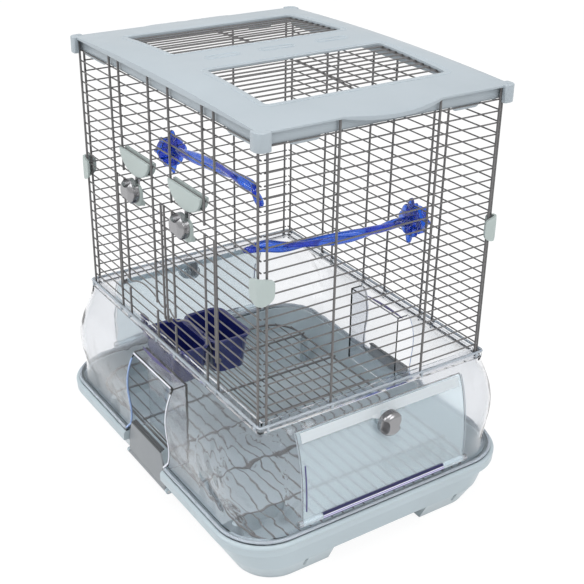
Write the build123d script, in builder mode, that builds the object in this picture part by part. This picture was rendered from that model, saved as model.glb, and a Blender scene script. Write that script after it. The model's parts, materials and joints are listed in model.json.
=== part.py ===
from build123d import *
import math
import os

os.makedirs("parts", exist_ok=True)

# Bird cage. Millimetres, +Z up, origin on the floor under the middle of the cage.
# X runs along the long sides and Y across; the side with the two feeder doors faces -Y.

# Running gaps
part_gap = 0.35
slide_gap = 0.5
cut_past = 1.0           # how far a cutting body runs past what it cuts

# Heights that the rest builds on
foot_height = 22.0
tray_height = 40.0       # from the tops of the feet to the top of the rim
guard_height = 125.0     # from the tray's rim to the lowest level wire
guard_low = foot_height + tray_height
cage_bottom = guard_low + guard_height

# Wire cage
cage_half_x = 194.5      # upright wires of the short panels, centre line
cage_half_y = 144.0      # upright wires of the long panels, centre line
row_pitch = 12.2
row_count = 25           # spaces between the level wires
upright_wire = 2.6
level_wire = 1.6
weld_gap = 0.05
long_end_in = 4.5        # from the corner to the last upright of a long panel
short_end_in = 7.0
long_uprights = (cage_half_x - long_end_in, 112.4, 90.2, 21.6)
short_uprights = (cage_half_y - short_end_in, 59.1)
level_overhang = 2.0     # level wires run on past the last upright
cage_top = cage_bottom + row_pitch * row_count
wire_step = (upright_wire + level_wire) / 2 + weld_gap
level_y = cage_half_y - wire_step
level_x = cage_half_x - wire_step
upright_low = cage_bottom - level_wire / 2
upright_high = cage_top + level_wire / 2
inner_x = level_x - level_wire / 2
inner_y = level_y - level_wire / 2
outer_x = cage_half_x + upright_wire / 2
outer_y = cage_half_y + upright_wire / 2

# Feeder doors in the front panel
hinge_row = 3
door_low_row = 4
door_high_row = 14
door_side_gap = 0.4
door_middle_gap = 4.2
door_top_curl = 1.6
hook_turn = 250.0

# Feeder door latches
cover_width = 68.0
cover_height = 23.0
cover_gap = 2.2          # between the knob and the cover over it
cover_sheet = 3.0
cover_peg = 6.0
cover_peg_step = 33.0
cover_round = 1.2
knob_diameter = 28.0
knob_depth = 11.5
knob_grip = 7.0
knob_round = 6.3
knob_hollow_depth = 6.3
knob_hollow_half_x = 4.5
knob_hollow_half_z = 7.8
knob_shaft = 6.0
knob_play = 0.08
cam_width = 8.0
cam_sheet = 2.0
cam_clear = 2.0
seat_width = 30.0
seat_round = 7.5
seat_sheet = 3.5
seat_over = 8.0
seat_under = 3.6
seat_pad = 5.0
seat_pad_x = 10.5

# Clear guard round the foot of the cage
guard_wall = 2.2
guard_sections = (
    (guard_low, outer_x + 25.2, outer_y + 31.5, 53.0),
    (guard_low + 50.0, outer_x + 24.2, outer_y + 29.5, 52.0),
    (guard_low + 88.0, outer_x + 18.7, outer_y + 25.5, 47.0),
    (guard_low + 110.0, outer_x + 11.2, outer_y + 14.0, 36.0),
)                        # height, half x, half y and corner radius
channel_wall = 2.0
channel_height = 6.4
channel_radius = 5.0
flange_reach = 3.6
flange_height = 4.6

# Hatches in the short sides of the guard
hatch_half_y = 108.5
hatch_high = guard_low + 115.0
hatch_gap = 0.5
hinge_rod = 4.0
hinge_rod_z = guard_low + 12.0
knuckle = 8.0
bearing_length = 5.0
hatch_knob_z = guard_low + 98.0
hatch_boss = 20.0
hatch_cam_reach = 14.0
hatch_boss_depth = 12.8
hatch_boss_proud = 2.1   # past the guard wall below the boss

# Latches that hold the guard to the tray
latch_half_x = 45.5
latch_recess_gap = 0.8
recess_high = guard_low + 100.0
recess_y = outer_y + 3.1
latch_sheet = 2.6
latch_pin = 3.0
latch_pin_out = 1.1      # from the wall of the rim's notch to the pin
latch_barrel = 6.0
latch_pin_z = guard_low - 29.0
latch_knee_z = guard_low + 15.0
latch_top_z = guard_low + 20.0
latch_ledge_in = 6.0
latch_lug = 4.5
latch_knee_round = 1.0

# Tray
tray_wall = 2.8
tray_rim_out = 7.0       # from the guard's foot to the outside of the rim
tray_rim_x = guard_sections[0][1] + tray_rim_out
tray_rim_y = guard_sections[0][2] + tray_rim_out
tray_rim_radius = 58.0
tray_rim_height = 12.0
rim_land = 11.0
tray_top_in = 6.0
tray_low_in_x = 10.0
tray_low_in_y = 17.3
tray_top_x = tray_rim_x - tray_top_in
tray_top_y = tray_rim_y - tray_top_in
tray_low_x = tray_rim_x - tray_low_in_x
tray_low_y = tray_rim_y - tray_low_in_y
tray_radius = 52.0
tray_low_radius = 49.0
tray_rim_round = 4.2
notch_in = 9.0           # how deep the latches' notches cut into the rim
notch_y = tray_rim_y - notch_in
foot_in_x = 11.0
foot_in_y = 12.5
foot_x = tray_low_x - foot_in_x
foot_y = tray_low_y - foot_in_y
foot_radius = 42.0
foot_inner_x = 118.0
foot_inner_y = 64.0

# Floor grille in the tray
grille_gap_x = 12.0      # to the tray's wall, at the wall's foot
grille_gap_y = 22.5
grille_half_x = tray_low_x - grille_gap_x
grille_half_y = tray_low_y - grille_gap_y
grille_radius = 42.0
grille_z = guard_low - 16.0
grille_frame_wire = 2.8
grille_wire = 1.8
grille_count = 21
grille_cross_x = (-150.0, -75.0, 0.0, 75.0, 150.0)
post_diameter = 10.0
post_x = 150.0

# Roof
roof_over = 2.0          # past the outer wires
roof_edge = 2.0          # height of the roof's edge
roof_rise = 11.0         # of the arch from edge to crown
roof_half_x = outer_x + roof_over
roof_half_y = outer_y + roof_over
roof_low = upright_high + part_gap
roof_edge_high = roof_low + roof_edge
roof_crown = roof_edge_high + roof_rise
roof_sheet = 2.2
roof_corner = 5.0
ear_reach = 6.3          # corner ears, past the outer wires
ear_round = 8.0
skirt_sheet = 2.5
skirt_depth = 12.5
tab_drop = 4.5
tab_long_x = roof_half_x - 39.8
tab_long_width = 56.0
tab_short_y = roof_half_y - 52.3
tab_short_width = 34.0
leg_depth = 15.5
leg_length = 15.0
window_inner_x = 35.0
window_outer_x = roof_half_x - 53.8
window_half_y = roof_half_y - 40.3
window_radius = 5.0
lip_half_y = 58.0
lip_reach = 10.0
lip_drop = 5.5
rib_length = 150.0
rib_width = 7.0
rib_step = 17.0
rib_height = 1.0
roof_wire = 1.7
roof_wire_count = 10
roof_cross_wire = 2.4
roof_wire_rest = 4.0

# Corner clips
clip_low = cage_bottom + 139.0
clip_height = 28.0
clip_reach = 15.5
clip_sheet = 3.0
clip_play = 0.1

# Perches
perch_arm = 11.0
perch_tip_length = 3.0
perch_tip_angle = 25.0
perch_root = 1.0         # how deep the arm starts in its disc
perch_disc = 42.0
perch_disc_depth = 6.5
perch_tab_width = 12.0
perch_tab_length = 57.0
perch_tab_round = 4.8
perch_stud = 8.0
perch_nut = 30.0
perch_nut_depth = 8.0
perch_nut_lobe = 6.0
perch_nut_lobes = 6
perch_left_y = -32.0
perch_left_row = 12
perch_left_tip_x = 18.0
perch_left_rise = 13.0
perch_left_tip_rise = -1.0
perch_back_x = 68.0
perch_back_row = 9
perch_back_tip_y = -88.0
perch_back_rise = 3.0
perch_back_tip_rise = 17.0

# Feeder cups
cup_left = -88.0
cup_right = -10.0
cup_top = cage_bottom - 19.0
cup_depth = 44.0
cup_length = 50.0
cup_wall = 2.2
cup_draft = 4.0
cup_radius = 12.0
cup_lip = 2.5
cup_lip_sheet = 2.0
hook_width = 14.0
hook_sheet = 2.0


def row_z(row):
    return cage_bottom + row_pitch * row


def rounded_loft(sections, inset=0.0, mode=Mode.ADD):
    """Loft rounded rectangles given as (height, half x, half y, corner radius)."""
    faces = []
    for height, half_x, half_y, radius in sections:
        with BuildSketch(Plane.XY.offset(height), mode=Mode.PRIVATE) as ring:
            RectangleRounded(2 * (half_x - inset), 2 * (half_y - inset), radius - inset)
        faces.append(ring.sketch)
    loft(sections=faces, mode=mode)


def slab(low, high, mode=Mode.ADD):
    """Add a block between two corners."""
    size = [b - a for a, b in zip(low, high)]
    middle = tuple((a + b) / 2 for a, b in zip(low, high))
    with Locations(middle):
        Box(*size, mode=mode)


def rod(start, end, diameter, mode=Mode.ADD):
    """Add a straight round bar between two points."""
    run = Vector(*end) - Vector(*start)
    with BuildSketch(Plane(origin=start, z_dir=run), mode=Mode.PRIVATE) as section:
        Circle(diameter / 2)
    extrude(section.sketch, amount=run.length, mode=mode)


def level_wires_x(rows, x_from, x_to, y):
    """Level wires along X at the given rows."""
    with BuildSketch(Plane.YZ.offset(x_from), mode=Mode.PRIVATE) as sections:
        with Locations([(y, row_z(row)) for row in rows]):
            Circle(level_wire / 2)
    extrude(sections.sketch, amount=x_to - x_from)


def level_wires_y(rows, y_from, y_to, x):
    """Level wires along Y at the given rows."""
    with BuildSketch(Plane.XZ.offset(-y_from), mode=Mode.PRIVATE) as sections:
        with Locations([(x, row_z(row)) for row in rows]):
            Circle(level_wire / 2)
    extrude(sections.sketch, amount=y_from - y_to)


def uprights(places, low, high):
    """Upright wires at the given places."""
    with BuildSketch(Plane.XY.offset(low), mode=Mode.PRIVATE) as sections:
        with Locations(places):
            Circle(upright_wire / 2)
    extrude(sections.sketch, amount=high - low)


def save(builder, name):
    builder.part.label = name
    export_step(builder.part, f"parts/{name}.step")


# Long panels
level_half_x = long_uprights[0] + level_overhang
door_edge = long_uprights[1] - upright_wire - door_side_gap
door_inner_edge = door_middle_gap / 2 + upright_wire / 2
hinge_z = row_z(hinge_row)
all_rows = range(row_count + 1)
door_rows = range(door_low_row, door_high_row + 1)
upper_rows = range(door_high_row + 1, row_count + 1)
lower_rows = range(hinge_row + 1)

with BuildPart() as back_panel:
    level_wires_x(all_rows, -level_half_x, level_half_x, level_y)
    back_places = [(side * x, cage_half_y) for x in long_uprights for side in (-1, 1)]
    uprights(back_places, upright_low, upright_high)
save(back_panel, "back_panel")

door_wire_places = [(side * x, -cage_half_y) for x in long_uprights[2:] for side in (-1, 1)]

with BuildPart() as front_panel_upper:
    level_wires_x(upper_rows, -level_half_x, level_half_x, -level_y)
    upper_low = row_z(door_high_row + 1) - level_wire / 2
    uprights(door_wire_places, upper_low, upright_high)
save(front_panel_upper, "front_panel_upper")

with BuildPart() as front_panel_lower:
    level_wires_x(lower_rows, -level_half_x, level_half_x, -level_y)
    lower_high = hinge_z + level_wire / 2
    uprights(door_wire_places, upright_low, lower_high)
save(front_panel_lower, "front_panel_lower")

side_inner_end = long_uprights[1] - upright_wire / 2
for side, side_name in ((-1, "left"), (1, "right")):
    with BuildPart() as front_panel_side:
        ends = sorted((side * level_half_x, side * side_inner_end))
        level_wires_x(door_rows, ends[0], ends[1], -level_y)
        uprights([(side * x, -cage_half_y) for x in long_uprights[:2]], upright_low, upright_high)
    save(front_panel_side, f"front_panel_{side_name}_side")

# Short panels
level_half_y = short_uprights[0] + level_overhang
for side, side_name in ((-1, "left"), (1, "right")):
    with BuildPart() as end_panel:
        level_wires_y(all_rows, -level_half_y, level_half_y, side * level_x)
        end_places = [(side * cage_half_x, s * y) for y in short_uprights for s in (-1, 1)]
        uprights(end_places, upright_low, upright_high)
    save(end_panel, f"{side_name}_panel")

# Feeder doors, their latch seats, knobs and covers
door_top = row_z(door_high_row) + level_wire / 2 + door_top_curl
knob_z = row_z(door_high_row)
seat_back = cage_half_y + upright_wire / 2 + part_gap
seat_front = seat_back + seat_sheet
knob_back = seat_front + part_gap
cover_back = cage_half_y + upright_wire / 2 + weld_gap
cover_inside = inner_y - weld_gap
cover_x = (long_uprights[2] + long_uprights[3]) / 2
cover_low = knob_z + knob_diameter / 2 + cover_gap
cover_high = cover_low + cover_height
cover_peg_z = row_z(math.ceil((cover_low - cage_bottom) / row_pitch)) + row_pitch / 2
seat_low = row_z(door_high_row - 1) - seat_under
seat_high = row_z(door_high_row) + seat_over
cam_front = seat_back - part_gap
cam_back = cam_front - cam_sheet


def door_hook(x):
    """Wire end wound round the hinge wire."""
    plane = Plane(origin=(x, -level_y, hinge_z), x_dir=(0, -1, 0), z_dir=(1, 0, 0))
    with BuildLine(plane, mode=Mode.PRIVATE) as curl:
        CenterArc((0, 0), wire_step, 0, hook_turn)
    wire_start = Plane(origin=(x, -cage_half_y, hinge_z), z_dir=curl.line % 0)
    with BuildSketch(wire_start, mode=Mode.PRIVATE) as section:
        Circle(upright_wire / 2)
    sweep(section.sketch, path=curl.line)


for side, side_name in ((-1, "left"), (1, "right")):
    outer_edge = side * door_edge
    inner_edge = side * door_inner_edge
    ends = sorted((outer_edge, inner_edge))
    middle_x = side * cover_x
    with BuildPart() as feeder_door:
        wire_ends = (ends[0] - upright_wire / 2, ends[1] + upright_wire / 2)
        level_wires_x(door_rows, wire_ends[0], wire_ends[1], -level_y)
        uprights([(outer_edge, -cage_half_y), (inner_edge, -cage_half_y)], hinge_z, door_top)
        inner_low = row_z(door_low_row) - level_wire / 2
        uprights([(side * x, -cage_half_y) for x in long_uprights[2:]], inner_low, door_top)
        door_hook(outer_edge)
        door_hook(inner_edge)
    save(feeder_door, f"feeder_door_{side_name}")

    with BuildPart() as latch_seat:
        slab((middle_x - seat_width / 2, -seat_front, seat_low),
             (middle_x + seat_width / 2, -seat_back, seat_high))
        fillet(latch_seat.edges().filter_by(Axis.Y), seat_round)
        rod((middle_x, -seat_back, knob_z), (middle_x, -seat_front, knob_z), knob_shaft + 2 * knob_play,
            Mode.SUBTRACT)
        pads = ((-1, door_high_row - 1), (1, door_high_row - 1), (-1, door_high_row))
        for pad_side, pad_row in pads:
            pad_x = middle_x + pad_side * seat_pad_x
            slab(
                (pad_x - seat_pad / 2, -seat_back, row_z(pad_row) - seat_pad / 2),
                (pad_x + seat_pad / 2, -level_y - level_wire / 2 - weld_gap, row_z(pad_row) + seat_pad / 2),
            )
    save(latch_seat, f"door_latch_seat_{side_name}")

    with BuildPart() as door_knob:
        rod((middle_x, -knob_back, knob_z), (middle_x, -knob_back - knob_depth, knob_z), knob_diameter)
        rim = door_knob.edges().filter_by(GeomType.CIRCLE).sort_by(Axis.Y)
        fillet(rim[0], knob_round)
        for grip_side in (-1, 1):
            with BuildSketch(Plane(origin=(middle_x, -knob_back - knob_depth, knob_z), z_dir=(0, 1, 0))):
                with Locations((grip_side * (knob_grip / 2 + knob_diameter / 4), 0)):
                    Ellipse(knob_hollow_half_x, knob_hollow_half_z)
            extrude(amount=knob_hollow_depth, mode=Mode.SUBTRACT)
        rod((middle_x, -knob_back, knob_z), (middle_x, -cam_back, knob_z), knob_shaft)
        slab((middle_x - cam_width / 2, -cam_front, knob_z - cam_width / 2),
             (middle_x + cam_width / 2, -cam_back, cover_low - cam_clear))
    save(door_knob, f"door_knob_{side_name}")

    cover_plane = Plane(origin=(middle_x, -cover_back, cover_high), x_dir=(1, 0, 0), z_dir=(0, -1, 0))
    with BuildPart() as cover_front:
        with BuildSketch(cover_plane):
            Ellipse(cover_width / 2, cover_height)
            Rectangle(cover_width, 2 * cover_height, align=(Align.CENTER, Align.MIN), mode=Mode.SUBTRACT)
        extrude(amount=cover_sheet)
        fillet(cover_front.faces().sort_by(Axis.Y)[0].edges(), cover_round)
        for peg_side in (-1, 1):
            peg_x = middle_x + peg_side * cover_peg_step / 2
            rod((peg_x, -cover_back, cover_peg_z), (peg_x, -cover_inside, cover_peg_z), cover_peg)
    save(cover_front, f"latch_cover_{side_name}")

    with BuildPart() as cover_rear:
        with BuildSketch(cover_plane.offset(cover_inside - cover_back)):
            Ellipse(cover_width / 2, cover_height)
            Rectangle(cover_width, 2 * cover_height, align=(Align.CENTER, Align.MIN), mode=Mode.SUBTRACT)
        extrude(amount=-cover_sheet)
    save(cover_rear, f"latch_cover_rear_{side_name}")

# Clear guard
channel_outer_x = outer_x + part_gap
channel_outer_y = outer_y + part_gap
channel_inner_x = inner_x - part_gap
channel_inner_y = inner_y - part_gap
channel_floor = upright_low - part_gap
channel_under = channel_floor - channel_wall
channel_high = channel_floor + channel_height
guard_top = (channel_under, channel_outer_x + channel_wall, channel_outer_y + channel_wall, channel_radius)
recess_half_x = latch_half_x + latch_recess_gap
hinge_rod_x = guard_sections[0][1] - guard_wall / 2
hinge_bore = hinge_rod + 2 * knob_play
hatch_face_x = guard_sections[2][1] + hatch_boss_proud
hatch_cut_x = outer_x
hatch_low = hinge_rod_z - knuckle / 2 - hatch_gap

with BuildPart() as guard_hollow:
    rounded_loft([*guard_sections, guard_top], inset=guard_wall)
    for side in (-1, 1):
        low_y, high_y = sorted((side * (recess_y - guard_wall), side * tray_rim_y))
        slab((-recess_half_x - guard_wall, low_y, guard_low),
             (recess_half_x + guard_wall, high_y, recess_high + guard_wall), Mode.SUBTRACT)

with BuildPart() as guard_shell:
    rounded_loft([*guard_sections, guard_top])
    for side in (-1, 1):
        low_y, high_y = sorted((side * recess_y, side * tray_rim_y))
        slab((-recess_half_x, low_y, guard_low), (recess_half_x, high_y, recess_high), Mode.SUBTRACT)
    add(guard_hollow.part, mode=Mode.SUBTRACT)

with BuildPart() as debris_guard:
    add(guard_shell.part)
    with BuildSketch(Plane.XY.offset(channel_under)):
        Rectangle(2 * (channel_inner_x - channel_wall), 2 * (channel_inner_y - channel_wall))
    extrude(amount=channel_wall, both=True, mode=Mode.SUBTRACT)
    with BuildSketch(Plane.XY.offset(channel_under)):
        RectangleRounded(2 * guard_top[1], 2 * guard_top[2], channel_radius)
        Rectangle(
            2 * (channel_inner_x - channel_wall), 2 * (channel_inner_y - channel_wall), mode=Mode.SUBTRACT
        )
    extrude(amount=channel_high - channel_under)
    with BuildSketch(Plane.XY.offset(channel_floor)):
        RectangleRounded(2 * channel_outer_x, 2 * channel_outer_y, channel_radius - channel_wall)
        Rectangle(2 * channel_inner_x, 2 * channel_inner_y, mode=Mode.SUBTRACT)
    extrude(amount=channel_high - channel_floor, mode=Mode.SUBTRACT)
    foot_ring = guard_sections[0]
    with BuildSketch(Plane.XY.offset(guard_low)):
        RectangleRounded(
            2 * (foot_ring[1] + flange_reach), 2 * (foot_ring[2] + flange_reach), foot_ring[3] + flange_reach
        )
        RectangleRounded(
            2 * (foot_ring[1] - guard_wall), 2 * (foot_ring[2] - guard_wall), foot_ring[3] - guard_wall,
            mode=Mode.SUBTRACT,
        )
        with Locations((0, foot_ring[2]), (0, -foot_ring[2])):
            Rectangle(2 * recess_half_x, 4 * flange_reach, mode=Mode.SUBTRACT)
    extrude(amount=flange_height)
    for side in (-1, 1):
        low_x, high_x = sorted((side * hatch_cut_x, side * tray_rim_x))
        slab((low_x, -hatch_half_y, hatch_low), (high_x, hatch_half_y, hatch_high), Mode.SUBTRACT)
        for end in (-1, 1):
            with BuildSketch(Plane.XZ.offset(-end * hatch_half_y)):
                with Locations((side * hinge_rod_x, hinge_rod_z)):
                    Circle(knuckle / 2)
            extrude(amount=-end * bearing_length)
        rod((side * hinge_rod_x, -hatch_half_y - bearing_length, hinge_rod_z),
            (side * hinge_rod_x, hatch_half_y + bearing_length, hinge_rod_z), hinge_bore, Mode.SUBTRACT)
save(debris_guard, "debris_guard")

for side, side_name in ((-1, "left"), (1, "right")):
    face_x = side * hatch_face_x
    with BuildPart() as hatch:
        add(guard_shell.part)
        low_x, high_x = sorted((side * hatch_cut_x, side * tray_rim_x))
        slab((low_x, -hatch_half_y + hatch_gap, hinge_rod_z),
             (high_x, hatch_half_y - hatch_gap, hatch_high - hatch_gap), Mode.INTERSECT)
        rod((side * hinge_rod_x, -hatch_half_y + hatch_gap, hinge_rod_z),
            (side * hinge_rod_x, hatch_half_y - hatch_gap, hinge_rod_z), knuckle)
        rod((face_x - side * hatch_boss_depth, 0, hatch_knob_z), (face_x, 0, hatch_knob_z), hatch_boss)
        rod((side * hinge_rod_x, -hatch_half_y, hinge_rod_z),
            (side * hinge_rod_x, hatch_half_y, hinge_rod_z), hinge_bore, Mode.SUBTRACT)
        rod((face_x - side * (hatch_boss_depth + cut_past), 0, hatch_knob_z), (face_x, 0, hatch_knob_z),
            knob_shaft + 2 * knob_play, Mode.SUBTRACT)
    save(hatch, f"guard_hatch_{side_name}")

    with BuildPart() as hatch_rod:
        rod((side * hinge_rod_x, -hatch_half_y - bearing_length, hinge_rod_z),
            (side * hinge_rod_x, hatch_half_y + bearing_length, hinge_rod_z), hinge_rod)
    save(hatch_rod, f"hatch_hinge_rod_{side_name}")

    with BuildPart() as hatch_knob:
        near_x = face_x + side * part_gap
        far_x = near_x + side * knob_depth
        rod((near_x, 0, hatch_knob_z), (far_x, 0, hatch_knob_z), knob_diameter)
        rim = hatch_knob.edges().filter_by(GeomType.CIRCLE).sort_by(Axis.X)
        fillet(rim[-1] if side > 0 else rim[0], knob_round)
        for grip_side in (-1, 1):
            with BuildSketch(Plane(origin=(far_x, 0, hatch_knob_z), x_dir=(0, 1, 0), z_dir=(-side, 0, 0))):
                with Locations((grip_side * (knob_grip / 2 + knob_diameter / 4), 0)):
                    Ellipse(knob_hollow_half_x, knob_hollow_half_z)
            extrude(amount=knob_hollow_depth, mode=Mode.SUBTRACT)
        cam_near = face_x - side * (hatch_boss_depth + part_gap)
        cam_far = cam_near - side * cam_sheet
        rod((near_x, 0, hatch_knob_z), (cam_far, 0, hatch_knob_z), knob_shaft)
        low_x, high_x = sorted((cam_near, cam_far))
        slab((low_x, -cam_width / 2, hatch_knob_z - cam_width / 2),
             (high_x, cam_width / 2, hatch_knob_z + hatch_cam_reach))
    save(hatch_knob, f"hatch_knob_{side_name}")

# Tray
tray_rim_low = guard_low - tray_rim_height
post_y = grille_half_y
post_high = grille_z - grille_frame_wire / 2 - part_gap
latch_pin_y = notch_y + latch_pin_out
latch_pin_end = latch_half_x + part_gap + latch_lug
lug_root_y = tray_low_y + tray_wall / 2
outer_body = (
    (foot_height, tray_low_x, tray_low_y, tray_low_radius),
    (tray_rim_low + cut_past, tray_top_x, tray_top_y, tray_radius),
)
foot_body = (
    (0, foot_x, foot_y, foot_radius),
    (foot_height + cut_past, tray_low_x, tray_low_y, tray_low_radius),
)
foot_hollow_high = foot_height + tray_wall + cut_past


def foot_corners(grow=0.0):
    """Keep only what lies over the four feet."""
    with BuildPart(mode=Mode.PRIVATE) as corners:
        for side_x in (-1, 1):
            for side_y in (-1, 1):
                low_x, high_x = sorted((side_x * (foot_inner_x + grow), side_x * tray_rim_x))
                low_y, high_y = sorted((side_y * (foot_inner_y + grow), side_y * tray_rim_y))
                slab((low_x, low_y, -cut_past), (high_x, high_y, foot_hollow_high))
    return corners.part


with BuildPart() as tray_feet:
    rounded_loft(foot_body)
    add(foot_corners(), mode=Mode.INTERSECT)

with BuildPart() as tray_foot_hollow:
    rounded_loft([(tray_wall, *foot_body[0][1:]), (foot_hollow_high, *foot_body[1][1:])], inset=tray_wall)
    add(foot_corners(tray_wall), mode=Mode.INTERSECT)

with BuildPart() as base_tray:
    rounded_loft(outer_body)
    add(tray_feet.part)
    with BuildSketch(Plane.XY.offset(tray_rim_low)):
        RectangleRounded(2 * tray_rim_x, 2 * tray_rim_y, tray_rim_radius)
    extrude(amount=tray_rim_height)
    rim_edges = base_tray.faces().sort_by(Axis.Z)[-1].edges()
    fillet(rim_edges, tray_rim_round)
    cavity = (
        (foot_height + tray_wall, tray_low_x - tray_wall, tray_low_y - tray_wall,
         tray_low_radius - tray_wall),
        (guard_low, tray_rim_x - rim_land, tray_rim_y - rim_land, tray_radius - tray_wall),
    )
    rounded_loft(cavity, mode=Mode.SUBTRACT)
    add(tray_foot_hollow.part, mode=Mode.SUBTRACT)
    for side_y in (-1, 1):
        low_y, high_y = sorted((side_y * notch_y, side_y * (tray_rim_y + cut_past)))
        slab((-recess_half_x, low_y, latch_pin_z), (recess_half_x, high_y, guard_low + cut_past),
             Mode.SUBTRACT)
    for side_x in (-1, 1):
        for side_y in (-1, 1):
            rod((side_x * post_x, side_y * post_y, tray_wall / 2),
                (side_x * post_x, side_y * post_y, post_high), post_diameter)
    for side_y in (-1, 1):
        pin_y = side_y * latch_pin_y
        for lug_side in (-1, 1):
            lug_x = lug_side * (latch_half_x + part_gap + latch_lug / 2)
            low_y, high_y = sorted((side_y * lug_root_y, side_y * latch_pin_y))
            slab((lug_x - latch_lug / 2, low_y, latch_pin_z - latch_barrel / 2),
                 (lug_x + latch_lug / 2, high_y, latch_pin_z + latch_barrel / 2))
            rod((lug_x - latch_lug / 2, side_y * latch_pin_y, latch_pin_z),
                (lug_x + latch_lug / 2, side_y * latch_pin_y, latch_pin_z), latch_barrel)
        rod((-latch_pin_end, pin_y, latch_pin_z), (latch_pin_end, pin_y, latch_pin_z),
            latch_pin + 2 * knob_play, Mode.SUBTRACT)
save(base_tray, "base_tray")

for side, side_name in ((-1, "front"), (1, "back")):
    with BuildPart() as base_latch:
        plate_in = notch_y + slide_gap
        plate_out = plate_in + latch_sheet
        with BuildSketch(Plane.YZ.offset(-latch_half_x)):
            with BuildLine():
                Polyline(
                    (side * plate_in, latch_pin_z), (side * plate_in, latch_knee_z),
                    (side * (plate_in - latch_ledge_in), latch_top_z - latch_sheet),
                    (side * (plate_in - latch_ledge_in), latch_top_z),
                    (side * (plate_out - latch_knee_round), latch_knee_z + latch_sheet),
                    (side * plate_out, latch_knee_z), (side * plate_out, latch_pin_z), close=True,
                )
            make_face()
        extrude(amount=2 * latch_half_x)
        rod((-latch_half_x, side * latch_pin_y, latch_pin_z), (latch_half_x, side * latch_pin_y, latch_pin_z),
            latch_barrel)
        rod((-latch_half_x, side * latch_pin_y, latch_pin_z), (latch_half_x, side * latch_pin_y, latch_pin_z),
            latch_pin + 2 * knob_play, Mode.SUBTRACT)
    save(base_latch, f"base_latch_{side_name}")

    with BuildPart() as latch_pin_part:
        pin_y = side * latch_pin_y
        rod((-latch_pin_end, pin_y, latch_pin_z), (latch_pin_end, pin_y, latch_pin_z), latch_pin)
    save(latch_pin_part, f"base_latch_pin_{side_name}")

# Floor grille: its bent frame wire, then the straight wires on it
with BuildPart() as floor_grille_frame:
    run_x = grille_half_x - grille_radius
    run_y = grille_half_y - grille_radius
    with BuildLine(Plane.XY.offset(grille_z)) as frame_line:
        Polyline((-run_x, -grille_half_y), (run_x, -grille_half_y))
        CenterArc((run_x, -run_y), grille_radius, -90, 90)
        Line((grille_half_x, -run_y), (grille_half_x, run_y))
        CenterArc((run_x, run_y), grille_radius, 0, 90)
        Line((run_x, grille_half_y), (-run_x, grille_half_y))
        CenterArc((-run_x, run_y), grille_radius, 90, 90)
        Line((-grille_half_x, run_y), (-grille_half_x, -run_y))
        CenterArc((-run_x, -run_y), grille_radius, 180, 90)
    with BuildSketch(Plane(origin=(-run_x, -grille_half_y, grille_z), z_dir=(1, 0, 0))):
        Circle(grille_frame_wire / 2)
    sweep(path=frame_line.wire())
save(floor_grille_frame, "floor_grille_frame")

with BuildPart() as floor_grille:
    wire_z = grille_z + (grille_frame_wire + grille_wire) / 2 + weld_gap
    step = 2 * (grille_half_y - grille_frame_wire) / (grille_count - 1)
    for number in range(grille_count):
        y = -(grille_half_y - grille_frame_wire) + step * number
        into_corner = max(0.0, abs(y) - run_y)
        reach = run_x + math.sqrt(grille_radius ** 2 - into_corner ** 2)
        rod((-reach, y, wire_z), (reach, y, wire_z), grille_wire)
    cross_z = wire_z + (grille_frame_wire + grille_wire) / 2 + weld_gap
    for x in grille_cross_x:
        rod((x, -grille_half_y, cross_z), (x, grille_half_y, cross_z), grille_frame_wire)
save(floor_grille, "floor_grille")

# Roof
roof_bend = (roof_half_x ** 2 + roof_rise ** 2) / (2 * roof_rise)
skirt_x = channel_inner_x
skirt_y = channel_inner_y
skirt_low = cage_top - skirt_depth + level_wire / 2


def roof_under(x):
    """Height of the underside of the roof sheet."""
    return roof_crown - roof_bend - roof_sheet + math.sqrt(roof_bend ** 2 - x ** 2)


def arch(half_x, half_y, crown, edge, low, mode=Mode.ADD):
    """Block with an arched top, the arch spanning X."""
    with BuildSketch(Plane.XZ, mode=Mode.PRIVATE) as section:
        with BuildLine():
            Polyline((half_x, edge), (half_x, low), (-half_x, low), (-half_x, edge))
            ThreePointArc((-half_x, edge), (0, crown), (half_x, edge))
        make_face()
    extrude(section.sketch, amount=half_y, both=True, mode=mode)


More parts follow.
